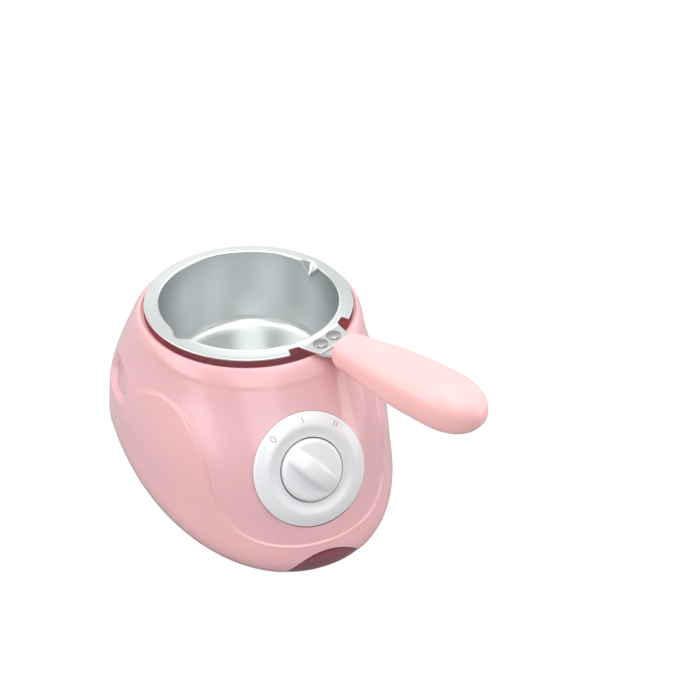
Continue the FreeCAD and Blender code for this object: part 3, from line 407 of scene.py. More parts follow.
def dial_height(x, y):
    """How far the dial's face stands out: a dish up to a soft crest, then a slope down to the edge."""
    r = np.hypot(x, y)
    crest_r, crest_h = 21.8, 1.5
    slope = crest_h - (r - crest_r) * (crest_h - DIAL_EDGE_H) / (DIAL_R - crest_r)
    dish = 0.4 + 1.2 * smooth_step((r - KNOB_WELL_R - 1.2) / 5.4)
    return -smooth_max(-dish, -slope, 1.3)


def dial_grid():
    """The dial's face, rim and underside as one ring-shaped grid around the dial's axis."""
    t = full_turn(256)
    edge_round, well_floor = 0.9, -2.6
    k = np.radians(np.linspace(10, 90, 8))
    flat = np.linspace(KNOB_WELL_R + 0.35, DIAL_R - edge_round, 46)
    radii = np.concatenate((flat, DIAL_R - edge_round + edge_round * np.sin(k)))
    drop = np.concatenate((0 * flat, edge_round * (1 - np.cos(k))))
    rows = []
    for r, h in ((NECK_R, DIAL_BACK), (NECK_R, well_floor), (KNOB_WELL_R, well_floor), (KNOB_WELL_R, -1.3),
                 (KNOB_WELL_R + 0.07, -1.1)):
        rows.append(to_dial(r * np.cos(t), r * np.sin(t), h + 0 * t))
    for r, fall in zip(radii, drop):
        x, y = r * np.cos(t), r * np.sin(t)
        rows.append(to_dial(x, y, dial_height(x, y) - fall))
    rows.append(to_dial(DIAL_R * np.cos(t), DIAL_R * np.sin(t), DIAL_BACK + 0 * t))
    return np.array(rows)


def mark_rows(cx, cy, turned, outlines, lifts):
    """Closed outlines laid on the dial's face round (cx, cy), turned, each lifted off it a little."""
    rows = []
    for (x, y), lift in zip(outlines, lifts):
        px = cx + x * np.cos(turned) - y * np.sin(turned)
        py = cy + x * np.sin(turned) + y * np.cos(turned)
        rows.append(to_dial(px, py, dial_height(px, py) + lift))
    return np.array(rows)


def mark_ring(cx, cy, turned, half_w, half_h, stroke):
    """A nought as a flat oval ring on the dial's face, turned to stand upright along its radius."""
    t = full_turn(48)
    outlines = [((half_w - trim) * np.cos(t), (half_h - trim) * np.sin(t)) for trim in (stroke, stroke, 0, 0)]
    return mark_rows(cx, cy, turned, outlines, (-MARK_SUNK, MARK_PROUD, MARK_PROUD, -MARK_SUNK)), True, True


def mark_bar(cx, cy, turned, half_w, half_h):
    """A stroke as a thin oval bar on the dial's face."""
    t = full_turn(24)
    x = half_w * np.sign(np.cos(t)) * np.abs(np.cos(t)) ** 0.3
    y = half_h * np.sign(np.sin(t)) * np.abs(np.sin(t)) ** 0.3
    outlines = [(scale * x, scale * y) for scale in (0, 1, 1, 0)]
    return mark_rows(cx, cy, turned, outlines, (-MARK_SUNK, -MARK_SUNK, MARK_PROUD, MARK_PROUD)), False, True


def knob_disc():
    """The knob's round body: a soft rim and a face that rises a little to the middle with the square
    of the radius, as a polar grid."""
    foot, face, soft = -2.4, 2.9, 2.6
    edge = arc(KNOB_R - soft, face - soft, soft, 0, 90, 12)
    profile = np.concatenate(([(0, foot), (KNOB_R - 0.3, foot), (KNOB_R, foot + 0.3)], edge))
    inner = np.linspace(KNOB_R - soft, 0, 60)[1:]
    rise = 0.6 * (1 - (inner / (KNOB_R - soft)) ** 2)
    profile = np.concatenate((profile, np.stack((inner, face + rise), axis=-1)))
    return tube_grid(profile, 240)


def knob_ridge():
    """The knob's grip: a bar from edge to edge under a dome, whose height falls with a power of the
    radius. It has a broad crown and hollow flanks that are widest at the middle, as a grid along and
    across."""
    span, foot, half, edge_round = KNOB_R - 0.9, -0.8, 4.4, 1.8
    top, fall, fall_r, fall_power = 7.8, 5.9, 14.2, 2.2
    a = np.linspace(-1, 1, 81)[:, None]
    wide = 1 - a ** 2
    crown = arc(0, -edge_round, edge_round, 170, 90, 10) - (half - edge_round, 0)
    section = np.concatenate((crown, [(-1.2, 0.1), (0, 0.13), (1.2, 0.1)], crown[::-1] * (-1, 1)))
    hollow = ((2.4, 3.9), (2.4, 3.1), (1.3, 2.2), (0.5, 1.2))
    flank = [(-half - out * wide, -2.1 - down * wide) for out, down in hollow]
    y = np.concatenate([out for out, _ in flank] + [section[:, 0][None, :] + 0 * a]
                       + [-out for out, _ in flank[::-1]], axis=1)
    drop = np.concatenate([down for _, down in flank] + [section[:, 1][None, :] + 0 * a]
                          + [down for _, down in flank[::-1]], axis=1)
    x = a * span + 0 * y
    h = np.maximum(top - fall * (np.hypot(x, y) / fall_r) ** fall_power + drop, foot)
    h[:, 0] = h[:, -1] = foot
    return x, y, h


# Pot

def rim_outline(angle):
    """The rim's reach at each angle from the handle: a circle, with a flared tongue towards the handle
    and a notch on each side of it. The corners are rounded by averaging over a small angle."""
    fine = np.linspace(-np.pi, np.pi, 7201)
    tongue_half, tongue_end = 10.5, 58.5
    x1, y1 = 14.0, NOTCH_R * np.cos(np.radians(NOTCH_NEAR))
    x2, y2 = NOTCH_R * np.sin(np.radians(NOTCH_FAR)), NOTCH_R * np.cos(np.radians(NOTCH_FAR))
    flare = (x1 - tongue_half) / (tongue_end - y1)
    s, c = np.abs(np.sin(fine)), np.cos(fine)
    side = (tongue_half + flare * tongue_end) / (s + flare * c)
    tongue = np.minimum(tongue_end / np.maximum(c, 0.2), side)
    bottom = (x1 * y2 - x2 * y1) / ((x1 - x2) * c - (y1 - y2) * s)
    a = np.degrees(np.abs(fine))
    reach = np.where(a < NOTCH_NEAR, tongue, np.where(a < NOTCH_FAR, bottom, RIM_R))
    kernel = np.hanning(21)
    kernel /= kernel.sum()
    soft = np.convolve(np.pad(reach, 10, mode="wrap"), kernel, mode="valid")
    return np.interp(angle, fine, soft)


def press_spout(points, grow):
    """Presses a pouring lip out: a point inside a three-sided pyramid moves along the normal of the
    near face until it lies on that face, with a soft crease."""
    soft, deepest = 0.35, 8
    px, pz = POT_R - SPOUT_SET_IN, RIM_TOP - SPOUT_DROP - 1.5 * grow
    tip = np.array((px, 0, pz))
    keel = np.array((POT_R + SPOUT_REACH + grow, 0, RIM_TOP)) - tip
    corner = np.array((px, SPOUT_HALF + grow, RIM_TOP)) - tip
    normal = np.cross(keel, corner)
    normal /= np.linalg.norm(normal)
    if normal[0] < 0:
        normal = -normal
    flipped = points.copy()
    sign = np.where(points[..., 1] < 0, -1.0, 1.0)
    flipped[..., 1] *= sign
    depth = np.minimum(-(flipped - tip) @ normal, deepest)
    push = soft * np.log1p(np.exp(np.clip(depth / soft, -30, 30)))
    a = np.abs(np.degrees(np.arctan2(flipped[..., 1], flipped[..., 0])))
    push = push * (1 - smooth_step((a - 16) / 6)) * (points[..., 2] > pz - 4)
    moved = flipped + push[..., None] * normal
    moved[..., 1] *= sign
    moved[..., 1] = np.where(np.abs(points[..., 1]) < 1e-6, 0, moved[..., 1])
    return moved


def pot_angles():
    """The angles of the pot's grid, from the handle's: even all round, and close at the notches, the
    tongue and the two lips."""
    turns = ((-180, 40), (-110, 100), (-70, 30), (-26, 260), (26, 30), (70, 100), (110, 40))
    return np.radians(spread(turns, 180))


def pot_grid():
    """The pressed pot as one closed grid: floor, wall, rim and edge of the inside, then back under the
    rim and down the outside, all turned about the axis and then shaped at the rim."""
    angle = pot_angles()[None, :]
    floor_in, floor_out, corner_r, wall_foot = 49.35, 48.45, 5.1, 55.0
    corner_z = floor_in + corner_r
    inner_wall = (np.linspace(43.6, POT_R - 0.05, 36), np.linspace(wall_foot, RIM_TOP - 1.6, 36))
    outer_wall = (np.linspace(POT_R + 0.88, 44.5, 30), np.linspace(RIM_TOP - 2.7, wall_foot, 30))
    inner = np.concatenate(([(0.02, floor_in), (20, floor_in), (36, floor_in)],
                            arc(38.4, corner_z, corner_r, -90, -4, 12), np.stack(inner_wall, axis=-1),
                            arc(POT_R + 1.2, RIM_TOP - 1.35, 1.25, 180, 100, 8)))
    outer = np.concatenate((arc(POT_R + 1.9, RIM_TOP - 2.1, 1.0, 90, 180, 6), np.stack(outer_wall, axis=-1),
                            arc(38.6, corner_z, 6.0, -4, -90, 10), [(20, floor_out), (0.02, floor_out)]))
    c, s = np.sin(angle), -np.cos(angle)
    edge = np.maximum(rim_outline(angle), 48.0)
    edge_round, sheet = 0.35, 1.0

    def level(r, z):
        return np.stack((r * c, r * s, z + 0 * c), axis=-1)[0]

    def slope(r):
        height = RIM_TOP - (RIM_TOP - RIM_EDGE_TOP) * (r - POT_R) / (RIM_FLAT_R - POT_R)
        height = smooth_max(height, RIM_EDGE_TOP + 0 * r, 0.3) - 0.075
        across, along = np.abs(r * c), -r * s
        on_tongue = (1 - smooth_step((across - 12.5) / 2.5)) * smooth_step((along - 47.6) / 1.6)
        return height + (RIM_EDGE_TOP - height) * on_tongue

    rows = [level(r, z) for r, z in inner]
    share = np.linspace(0, 1, 26)[1:]
    for k in share:
        r = inner[-1, 0] + (edge - edge_round - inner[-1, 0]) * k
        rows.append(level(r, slope(r)))
    for k in np.radians((60, 30, 0, -30, -60, -90)):
        r = edge - edge_round + edge_round * np.cos(k)
        drop = edge_round if k >= 0 else sheet - edge_round
        rows.append(level(r, slope(edge) + edge_round * np.sin(k) - drop))
    for k in share[-2::-1]:
        r = outer[0, 0] + (edge - edge_round - outer[0, 0]) * k
        rows.append(level(r, slope(r) - sheet))
    split = len(inner) + len(share) + 3
    rows = np.array(rows + [level(r, z) for r, z in outer])
    for side in (0.0, np.pi):
        rows = turn(rows, -side)
        rows[:split] = press_spout(rows[:split], 0.0)
        rows[split:] = press_spout(rows[split:], 0.9)
        rows = turn(rows, side)
    return turn(rows, HANDLE_TURN)


def rivet_grid(place):
    """One rivet: a shallow dome over a straight edge, turned about its own axis."""
    head_r, head_h, shank_r = 3.8, 1.35, 2.0
    dome = arc(0, 0, 1, 90, 8, 12) * (head_r, head_h) + (0, RIM_EDGE_TOP)
    foot = ((head_r, 94.4), (shank_r, 94.4), (shank_r, 91.9), (2.8, 91.8), (2.8, 91.6), (0, 91.6))
    profile = np.concatenate((dome, foot))
    profile[0, 0] = 0
    x, y, h = tube_grid(profile, 64)
    return np.stack((x + place[0], y + place[1], h), axis=-1), False, True


def handle_grid():
    """The handle: superellipse sections whose width and height follow a spline along it and close
    in a round end, rising a little away from the pot. A station is distance, width and height."""
    stations = np.array(((0.0, 16.6, 12.8), (1.5, 17.8, 14.2), (10.5, 20.8, 16.6), (22.5, 24.2, 19.4),
                         (37.0, 26.9, 22.0), (48.0, 27.6, 22.8), (57.5, 27.6, 23.0)))
    section_power, cap_power, root_round = 2.7, 2.2, 1.6
    cap_start, cap_length = 57.0, 22.8
    rise = np.radians(1.6)
    s = np.concatenate((np.linspace(0, root_round, 6)[:-1], np.linspace(root_round, cap_start, 90),
                        cap_start + cap_length * np.sin(np.radians(np.linspace(1.5, 90, 50)))))
    size = spline(stations[:, 0], stations[:, 1:], np.minimum(s, cap_start))
    into_cap = np.clip((s - cap_start) / cap_length, 0, 1)
    cap = np.clip(1 - into_cap ** cap_power, 0, 1) ** (1 / cap_power)
    size = size * cap[:, None]
    from_root = np.clip(s / root_round, 0, 1)
    opened = np.sqrt(np.clip(1 - (1 - from_root) ** 2, 0, 1))
    size = size - (root_round * (1 - opened) * (s < root_round))[:, None]
    t = full_turn(128)
    c, v = np.cos(t), np.sin(t)
    swell = (np.abs(c) ** section_power + np.abs(v) ** section_power) ** (-1 / section_power)
    x = size[:, :1] / 2 * swell * c
    h = size[:, 1:] / 2 * swell * v
    along = s[:, None] + 0 * x
    x = np.concatenate((0 * x[:1], x))
    h = np.concatenate((0 * h[:1], h))
    along = np.concatenate((along[:1], along))
    y = -HANDLE_START - along * np.cos(rise) + h * np.sin(rise)
    z = HANDLE_Z + along * np.sin(rise) + h * np.cos(rise)
    return turn(np.stack((x, y, z), axis=-1), HANDLE_TURN)


def lens_grid():
    """The half-moon lens: its outer and inner faces follow the shell just inside its wall, from the
    foot up to an arc, with a softly drawn-in edge."""
    radius = WINDOW_R - 0.3
    low = FOOT_Z + 0.3
    half = np.sqrt(radius ** 2 - (low - WINDOW_TOP + WINDOW_R) ** 2)
    x = np.sin(np.linspace(-np.pi / 2, np.pi / 2, 61))[None, :] * half
    top = WINDOW_TOP - WINDOW_R + np.sqrt(radius ** 2 - x ** 2)
    k = np.linspace(0, 1, 17)[:, None]
    z = low + (top - low) * k + 0 * x
    edge = np.minimum(np.minimum(z - low, top - z), (half - np.abs(x)) * 0.7 + 0 * z)
    rows = []
    for inset in (0.3, 2.2):
        swell = 0.35 * (1 - smooth_step(edge / 0.8)) if inset < 1 else 0.0
        angle = np.full(z.shape, -np.pi / 2)
        for _ in range(12):
            point = shell_point(angle, z, inset)
            angle = angle + (x - point[..., 0]) / 75.0
        point = shell_point(angle, z, inset)
        point[..., 1] += swell
        rows.append(point)
    return np.concatenate((rows[0], rows[1][::-1]))


# Materials

def put(tree, kind, inputs, **traits):
    """Adds a shader node. Each input takes a value, an output, or a node's first output."""
    node = tree.nodes.new("ShaderNode" + kind)
    for key, value in traits.items():
        setattr(node, key, value)
    for key, value in inputs.items():
        if isinstance(value, bpy.types.Node):
            value = value.outputs[0]
        if isinstance(value, bpy.types.NodeSocket):
            tree.links.new(value, node.inputs[key])
        else:
            node.inputs[key].default_value = value
    return node


def start_group(name, wanted):
    """A new node group with its inputs. Every group gives a colour, a roughness and a height."""
    group = bpy.data.node_groups.new(name, "ShaderNodeTree")
    given = [("Color", "Color", None), ("Roughness", "Float", None), ("Height", "Float", None)]
    for side, sockets in (("INPUT", wanted), ("OUTPUT", given)):
        for label, kind, value in sockets:
            socket = group.interface.new_socket(name=label, in_out=side, socket_type="NodeSocket" + kind)
            if value is not None:
                socket.default_value = value
    return group, group.nodes.new("NodeGroupInput").outputs


def end_group(group, color, roughness, height):
    """Links a group's three results."""
    result = group.nodes.new("NodeGroupOutput").inputs
    for name, node in (("Color", color), ("Roughness", roughness), ("Height", height)):
        group.links.new(node.outputs[0], result[name])
    return group


def moulded_group():
    """Moulded plastic: faint clouds in the colour, a fine even grain and a little waviness."""
    made = bpy.data.node_groups.get("Moulded skin")
    if made:
        return made
    group, given = start_group("Moulded skin", (
        ("Color", "Color", (0.8, 0.8, 0.8, 1)), ("Mottle", "Float", 0.03), ("Roughness", "Float", 0.2),
        ("Grain", "Float", 0.1)))
    place = put(group, "TexCoord", {}).outputs["Object"]
    clouds = put(group, "TexNoise", {"Vector": place, "Scale": 28})
    grain = put(group, "TexNoise", {"Vector": place, "Scale": 2600})
    waves = put(group, "TexNoise", {"Vector": place, "Scale": 90})
    low = put(group, "Math", {0: 1, 1: given["Mottle"]}, operation="SUBTRACT")
    high = put(group, "Math", {0: 1, 1: given["Mottle"]}, operation="ADD")
    tone = put(group, "MapRange", {"Value": clouds, "From Min": 0.3, "From Max": 0.7, "To Min": low,
                                   "To Max": high})
    color = put(group, "VectorMath", {0: given["Color"], "Scale": tone}, operation="SCALE")
    rough = put(group, "Math", {0: waves, 1: 0.06, 2: given["Roughness"]}, operation="MULTIPLY_ADD")
    fine = put(group, "Math", {0: grain, 1: given["Grain"]}, operation="MULTIPLY")
    height = put(group, "Math", {0: waves, 1: 0.25, 2: fine}, operation="MULTIPLY_ADD")
    return end_group(group, color, rough, height)


def worked_group():
    """Worked metal: fine lines round the pot's axis or in every direction, and soft stains."""
    made = bpy.data.node_groups.get("Worked metal")
    if made:
        return made
    group, given = start_group("Worked metal", (
        ("Color", "Color", (0.7, 0.7, 0.7, 1)), ("Around", "Float", 1.0), ("Roughness", "Float", 0.3),
        ("Stain", "Float", 0.04)))
    place = put(group, "TexCoord", {}).outputs["Object"]
    axes = put(group, "SeparateXYZ", {0: place}).outputs
    flat = put(group, "CombineXYZ", {"X": axes["X"], "Y": axes["Y"]})
    radius = put(group, "VectorMath", {0: flat}, operation="LENGTH").outputs["Value"]
    ring = put(group, "CombineXYZ", {"X": radius, "Z": axes["Z"]})
    around = put(group, "Mix", {"Factor": given["Around"], "A": place, "B": ring}, data_type="VECTOR")
    lines = put(group, "TexNoise", {"Vector": around.outputs["Result"], "Scale": 1500, "Detail": 3})
    stains = put(group, "TexNoise", {"Vector": place, "Scale": 60, "Detail": 4})
    tone = put(group, "Math", {0: stains, 1: 0.5}, operation="SUBTRACT")
    shade = put(group, "Math", {0: tone, 1: given["Stain"], 2: 1}, operation="MULTIPLY_ADD")
    color = put(group, "VectorMath", {0: given["Color"], "Scale": shade}, operation="SCALE")
    rough = put(group, "Math", {0: lines, 1: 0.08, 2: given["Roughness"]}, operation="MULTIPLY_ADD")
    return end_group(group, color, rough, lines)


def empty_tree(owner):
    """The node tree of a material or a world, cleared."""
    owner.use_nodes = True
    owner.node_tree.nodes.clear()
    return owner.node_tree


def surface(name, group, values, bump, **shader):
    """A material: one node group feeds the Principled shader, whose plain settings are given."""
    material = bpy.data.materials.get(name) or bpy.data.materials.new(name)
    tree = empty_tree(material)
    effect = put(tree, "Group", values, node_tree=group).outputs
    inputs = {key.replace("_", " "): value for key, value in shader.items()}
    inputs["Base Color"] = effect["Color"]
    inputs["Roughness"] = effect["Roughness"]
    inputs["Normal"] = put(tree, "Bump", {"Distance": bump, "Height": effect["Height"]})
    put(tree, "OutputMaterial", {"Surface": put(tree, "BsdfPrincipled", inputs)})
    return material


def linear(color):
    """A display colour as the linear one that a shader takes."""
    c = np.array(color, float)
    return tuple(np.where(c <= 0.04045, c / 12.92, ((c + 0.055) / 1.055) ** 2.4)) + (1.0,)


def plastic(name, color, roughness, mottle=0.02, grain=0.1, bump=0.00001, **shader):
    """A moulded plastic in one display colour."""
    values = {"Color": linear(color), "Mottle": mottle, "Roughness": roughness, "Grain": grain}
    return surface(name, moulded_group(), values, bump, **shader)


def metal(name, color, roughness, around=1.0, stain=0.05):
    """A worked metal in one display colour."""
    values = {"Color": linear(color), "Around": around, "Roughness": roughness, "Stain": stain}
    return surface(name, worked_group(), values, 0.000004, Metallic=1.0)


# Sizes and colours that a user would change

def tint(name, description, default):
    """A colour setting."""
    return FloatVectorProperty(name=name, description=description, subtype="COLOR", size=3, min=0, max=1,
                               default=default)


class PotColours(bpy.types.PropertyGroup):
    """The finishes' colours, as they show."""
    body: tint("Body", "Colour of the moulded base", (0.92, 0.70, 0.715))
    handle: tint("Handle", "Colour of the handle", (0.97, 0.745, 0.74))
    dial: tint("Dial", "Colour of the dial and knob", (0.89, 0.895, 0.905))
    marks: tint("Marks", "Colour of the dial's marks", (0.74, 0.64, 0.69))
    window: tint("Lamp window", "Colour of the half-moon window", (0.50, 0.24, 0.30))
    pot: tint("Pot", "Colour of the pot's metal", (0.87, 0.885, 0.885))


class PotSizes(bpy.types.PropertyGroup):
    """The small sizes of the skin."""
    panel_step: FloatProperty(
        name="Panel step", description="How deep the front panel lies inside its line, in millimetres",
        default=0.8, min=0, max=2)
    line_width: FloatProperty(
        name="Line width", description="Width of the soft edge round the front panel, in millimetres",
        default=1.0, min=0.3, max=4)


def settings():
    """The scene's colours and sizes."""
    return bpy.context.scene.pot_colours, bpy.context.scene.pot_sizes


def body_finish():
    """The base's glossy pink plastic."""
    return plastic("Glossy pink", settings()[0].body, 0.2, mottle=0.012, Coat_Weight=0.5, Coat_Roughness=0.1,
                   Subsurface_Weight=0.3, Subsurface_Radius=(1.0, 0.35, 0.3), Subsurface_Scale=0.008)


def liner_glow_finish():
    """The well's pink plastic, with a faint painted glow that lightens the shaded gap under the pot's rim."""
    # The emission is painted light: a faint pale red glow that stands in for light reaching the shaded well.
    return plastic("Well pink painted glow", settings()[0].body, 0.35, mottle=0.012, Emission_Strength=0.13,
                   Emission_Color=(0.85, 0.22, 0.26, 1.0))


def handle_finish():
    """The handle's paler plastic, a little less glossy."""
    return plastic("Pale pink", settings()[0].handle, 0.3, mottle=0.012, grain=0.2, Coat_Weight=0.2,
                   Coat_Roughness=0.2)


def dial_finish():
    """The dial's white plastic."""
    return plastic("Dial white", settings()[0].dial, 0.22, mottle=0.01, Coat_Weight=0.4, Coat_Roughness=0.1)


def window_finish():
    """The lamp window's dark red plastic."""
    return plastic("Window red", settings()[0].window, 0.12, Coat_Weight=0.6, Coat_Roughness=0.05)


def pot_finish():
    """The pot's satin metal."""
    return metal("Satin pot", settings()[0].pot, 0.27)


def rivet_finish():
    """The rivets' darker bright metal."""
    return metal("Rivet metal", (0.60, 0.60, 0.60), 0.3, around=0.0, stain=0.1)


# Operators

class MELTINGPOT_OT_shell(bpy.types.Operator):
    """The moulded egg-shaped base with its panel line, recesses and holes"""
    bl_idname = "meltingpot.shell"
    bl_label = "Shell"

    def execute(self, context):
        _, sizes = settings()
        shell = mesh_piece("shell", [(shell_grid(sizes.panel_step, sizes.line_width), True, True)])
        cutters = (dial_cutter("seat_cutter", DIAL_R + 0.15, DIAL_BACK - 0.1, 30),
                   dial_cutter("neck_cutter", NECK_R, -20, 5),
                   wall_plug("window_cutter", 256, WINDOW_TOP - WINDOW_R, WINDOW_R, (-125, -80)),
                   wall_plug("cord_cutter", 64, CORD_Z, CORD_HOLE_R, (58, 90)))
        for cutter in cutters:
            carve(shell, cutter, "DIFFERENCE")
        finish_piece(shell, "base", body_finish(), ("housing",))
        return {"FINISHED"}


class MELTINGPOT_OT_dial(bpy.types.Operator):
    """The white dial plate and its marks"""
    bl_idname = "meltingpot.dial"
    bl_label = "Dial"

    def execute(self, context):
        plate = mesh_piece("dial_ring", [(dial_grid(), True, True)])
        finish_piece(plate, "base", dial_finish(), ("dial_plate",))
        grids = []
        for angle, strokes in MARKS:
            a = np.radians(angle)
            cx, cy, lean = MARK_R * np.cos(a), MARK_R * np.sin(a), a - np.pi / 2
            if strokes == 0:
                grids.append(mark_ring(cx, cy, lean, *NOUGHT))
            for k in range(strokes):
                off = (k - (strokes - 1) / 2) * BAR_SPACING
                grids.append(mark_bar(cx + off * np.cos(lean), cy + off * np.sin(lean), lean, *BAR))
        marks = mesh_piece("dial_marks", grids)
        finish_piece(marks, "base", plastic("Mark print", settings()[0].marks, 0.4))
        return {"FINISHED"}


class MELTINGPOT_OT_knob(bpy.types.Operator):
    """The knob with its arched ridge"""
    bl_idname = "meltingpot.knob"
    bl_label = "Knob"

    def execute(self, context):
        off = np.radians(MARKS[0][0])

        def placed(x, y, h):
            return to_dial(x * np.cos(off) - y * np.sin(off), x * np.sin(off) + y * np.cos(off), h)

        knob = mesh_piece("knob_cap", [(placed(*knob_disc()), False, True)])
        ridge = mesh_piece("knob_ridge", [(placed(*knob_ridge()), False, True)])
        close_ends(ridge)
        carve(knob, ridge, "UNION")
        finish_piece(knob, "knob", dial_finish(), ("knob",))
        return {"FINISHED"}


class MELTINGPOT_OT_window(bpy.types.Operator):
    """The half-moon lamp window"""
    bl_idname = "meltingpot.window"
    bl_label = "Lamp window"

    def execute(self, context):
        lens = mesh_piece("window_lens", [(lens_grid(), True, False)])
        close_ends(lens)
        soften(lens.data, 50)
        finish_piece(lens, "base", window_finish(), ("indicator_lens",))
        return {"FINISHED"}


class MELTINGPOT_OT_pot(bpy.types.Operator):
    """The metal pot with its rim, lips and rivets"""
    bl_idname = "meltingpot.pot"
    bl_label = "Pot"

    def execute(self, context):
        pot = mesh_piece("pot_skin", [(pot_grid(), False, True)], merge=0.03)
        finish_piece(pot, "pot", pot_finish(), ("pot_bowl",))
        places = turn(np.array(((-RIVET_SIDE, -RIM_R, 0), (RIVET_SIDE, -RIM_R, 0))), HANDLE_TURN)
        rivets = mesh_piece("rivets", [rivet_grid(p) for p in places])
        finish_piece(rivets, "pot", rivet_finish(), ("bracket_rivets",))
        return {"FINISHED"}


class MELTINGPOT_OT_handle(bpy.types.Operator):
    """The rounded handle"""
    bl_idname = "meltingpot.handle"
    bl_label = "Handle"

    def execute(self, context):
        grip = mesh_piece("grip", [(handle_grid(), False, True)])
        finish_piece(grip, "pot", handle_finish(), ("handle",))
        return {"FINISHED"}


class MELTINGPOT_OT_inside(bpy.types.Operator):
    """Finishes for the well, the base plate and everything inside"""
    bl_idname = "meltingpot.inside"
    bl_label = "Well and inner parts"

    def execute(self, context):
        finishes = {
            "housing": body_finish(),
            "handle": handle_finish(),
            "dial_white": dial_finish(),
            "lens": window_finish(),
            "pot_metal": pot_finish(),
            "rivet": rivet_finish(),
            "heating_plate": metal("Turned plate", (0.72, 0.72, 0.73), 0.32),
            "heater_tube": metal("Oxidised tube", (0.45, 0.43, 0.41), 0.45, around=0.0, stain=0.3),
            "plated_steel": metal("Plated steel", (0.75, 0.75, 0.72), 0.3, around=0.0, stain=0.15),
            "seal": plastic("Silicone seal", (0.80, 0.79, 0.76), 0.5, grain=0.5),
            "inner_plastic": plastic("Inner plastic", (0.86, 0.84, 0.78), 0.45, grain=0.6),
            "inner_black": plastic("Diode black", (0.08, 0.08, 0.09), 0.4, grain=0.4),
            "lamp_glass": plastic("Lamp glass", (0.95, 0.72, 0.60), 0.08, Transmission_Weight=0.8),
            "base_plate": plastic("Underside pink", (0.88, 0.64, 0.67), 0.5, grain=1.0, bump=0.00003),
            "rubber": plastic("Pale rubber", (0.80, 0.79, 0.78), 0.65, mottle=0.04, grain=1.0, bump=0.00003),
        }
        slots = {part["node"]: part["material_slot"] for part in frame["record"]["subparts"]}
        for node, thing in frame["nodes"].items():
            if not thing.material_slots:
                thing.data.materials.append(None)
            for place in thing.material_slots:
                # The well liner gets the pink plastic with the painted glow, and every other node gets its
                # slot's finish.
                place.material = liner_glow_finish() if node == "well_liner" else finishes[slots[node]]
        return {"FINISHED"}


# Stage

def split_light(tree, output, lit, seen):
    """Shows one shader to the camera and gives another to all the other light."""
    direct = put(tree, "LightPath", {}).outputs["Is Camera Ray"]
    put(tree, output, {"Surface": put(tree, "MixShader", {"Fac": direct, 1: lit, 2: seen})})


def build_floor():
    """A wide sheet that the camera sees as nearly plain white, with only a faint shadow."""
    side = 6.0
    mesh = bpy.data.meshes.new("floor")
    corners = [(-side, -side, 0), (side, -side, 0), (side, side, 0), (-side, side, 0)]
    mesh.from_pydata(corners, [], [(0, 1, 2, 3)])
    add_object("floor", mesh)
    white = bpy.data.materials.new("Floor white")
    tree = empty_tree(white)
    paper = put(tree, "BsdfDiffuse", {"Color": (0.42, 0.42, 0.42, 1)})
    glow = put(tree, "Emission", {"Strength": 1.06})
    split_light(tree, "OutputMaterial", paper, put(tree, "MixShader", {"Fac": 0.93, 1: paper, 2: glow}))
    mesh.materials.append(white)


def build_world():
    """A pale room: bright overhead and behind the object, dimmer towards the front. The camera sees
    plain white."""
    world = bpy.data.worlds.new("Soft room")
    bpy.context.scene.world = world
    tree = empty_tree(world)
    way = put(tree, "SeparateXYZ", {0: put(tree, "TexCoord", {}).outputs["Generated"]}).outputs
    rise = put(tree, "MapRange", {"Value": way["Z"], "From Min": 0.4, "From Max": 0.95, "To Min": 0.2},
               interpolation_type="SMOOTHSTEP")
    along = put(tree, "MapRange", {"Value": way["Y"], "From Min": -1.0})
    bands = put(tree, "ValToRGB", {"Fac": along})
    stops = bands.color_ramp.elements
    shades = ((0.04, 0.25), (0.22, 0.35), (0.36, 0.9), (0.50, 1.9), (0.76, 1.5), (0.86, 0.62), (0.96, 1.2))
    for place, shade in shades:
        stops.new(place).color = (shade, shade, shade, 1)
    stops.remove(stops[-1])
    level = put(tree, "Math", {0: rise, 1: bands}, operation="MAXIMUM")
    split_light(tree, "OutputWorld", put(tree, "Background", {"Color": level}),
                put(tree, "Background", {"Color": (1, 1, 1, 1)}))


def build_lamps():
    """Four soft square lamps that point at the middle of the base."""
    middle = Vector((0, 0, 0.06))
    # Name, place, side in metres, power in watts
    lamps = (("key", (-0.2, -0.6, 0.68), 0.5, 1.15), ("top", (0.1, -0.15, 0.9), 0.5, 1.3),
             ("right", (0.75, -0.45, 0.3), 0.4, 1.0), ("left", (-0.8, -0.1, 0.35), 0.4, 0.7))
    for name, place, size, power in lamps:
        lamp = bpy.data.lights.new(name, "AREA")
        lamp.size = size
        lamp.energy = power
        thing = add_object(name, lamp)
        thing.rotation_euler = (Vector(place) - middle).to_track_quat("Z", "Y").to_euler()
        thing.location = place


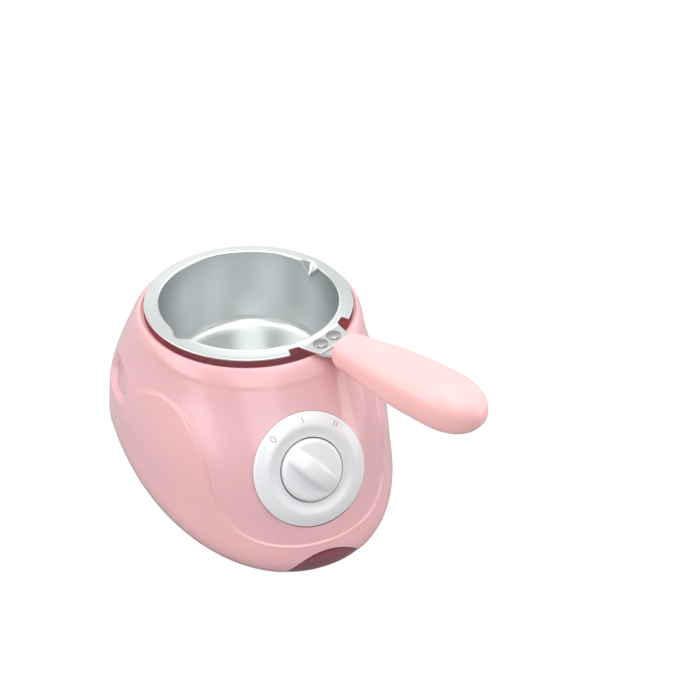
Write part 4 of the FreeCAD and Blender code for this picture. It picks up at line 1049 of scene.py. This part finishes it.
def build_camera():
    """The camera as it was fitted to the photo: its place, its way of looking and its lens."""
    azimuth, height, roll = np.radians((-25.5, 36.36, 3.09))
    focal_pixels, image_pixels, sensor = 875.15, 700, 36
    back = np.array((np.sin(azimuth) * np.cos(height), -np.cos(azimuth) * np.cos(height), np.sin(height)))
    level = np.array((np.cos(azimuth), np.sin(azimuth), 0))
    upright = np.cross(back, level)
    across = np.cos(roll) * level + np.sin(roll) * upright
    up = np.cos(roll) * upright - np.sin(roll) * level
    lens = bpy.data.cameras.new("camera")
    lens.lens = focal_pixels / image_pixels * sensor
    lens.clip_start, lens.clip_end = 0.01, 50
    eye = add_object("camera", lens)
    turned = Matrix([list(v) for v in np.stack((across, up, back), axis=1)]).to_4x4()
    eye.matrix_world = Matrix.Translation((-0.11353, -0.36045, 0.34012)) @ turned
    bpy.context.scene.camera = eye
    bpy.context.scene.view_settings.view_transform = "Standard"


class MELTINGPOT_OT_stage(bpy.types.Operator):
    """The pale floor, the soft lamps and the camera"""
    bl_idname = "meltingpot.stage"
    bl_label = "Stage"

    def execute(self, context):
        build_camera()
        build_floor()
        build_world()
        build_lamps()
        return {"FINISHED"}


# Panel and start

class MELTINGPOT_PT_pieces(bpy.types.Panel):
    """Lists the pieces and the settings"""
    bl_label = "Melting pot"
    bl_idname = "MELTINGPOT_PT_pieces"
    bl_space_type = "VIEW_3D"
    bl_region_type = "UI"
    bl_category = "Melting Pot"

    def draw(self, context):
        for operator in OPERATORS:
            self.layout.operator(operator.bl_idname)
        for group, owner in ((context.scene.pot_colours, PotColours), (context.scene.pot_sizes, PotSizes)):
            for key in owner.__annotations__:
                self.layout.prop(group, key)


OPERATORS = (MELTINGPOT_OT_stage, MELTINGPOT_OT_shell, MELTINGPOT_OT_dial, MELTINGPOT_OT_knob,
             MELTINGPOT_OT_window, MELTINGPOT_OT_pot, MELTINGPOT_OT_handle, MELTINGPOT_OT_inside)
CLASSES = (PotColours, PotSizes) + OPERATORS + (MELTINGPOT_PT_pieces,)


def register():
    """Adds the classes and the scene's settings."""
    for item in CLASSES:
        bpy.utils.register_class(item)
    bpy.types.Scene.pot_colours = PointerProperty(type=PotColours)
    bpy.types.Scene.pot_sizes = PointerProperty(type=PotSizes)


def unregister():
    """Removes them again."""
    del bpy.types.Scene.pot_sizes
    del bpy.types.Scene.pot_colours
    for item in reversed(CLASSES):
        bpy.utils.unregister_class(item)


def main():
    """Builds every piece in order."""
    register()
    bpy.ops.meltingpot.stage()
    bpy.ops.meltingpot.shell()
    bpy.ops.meltingpot.dial()
    bpy.ops.meltingpot.knob()
    bpy.ops.meltingpot.window()
    bpy.ops.meltingpot.pot()
    bpy.ops.meltingpot.handle()
    bpy.ops.meltingpot.inside()


if __name__ == "__main__":
    main()
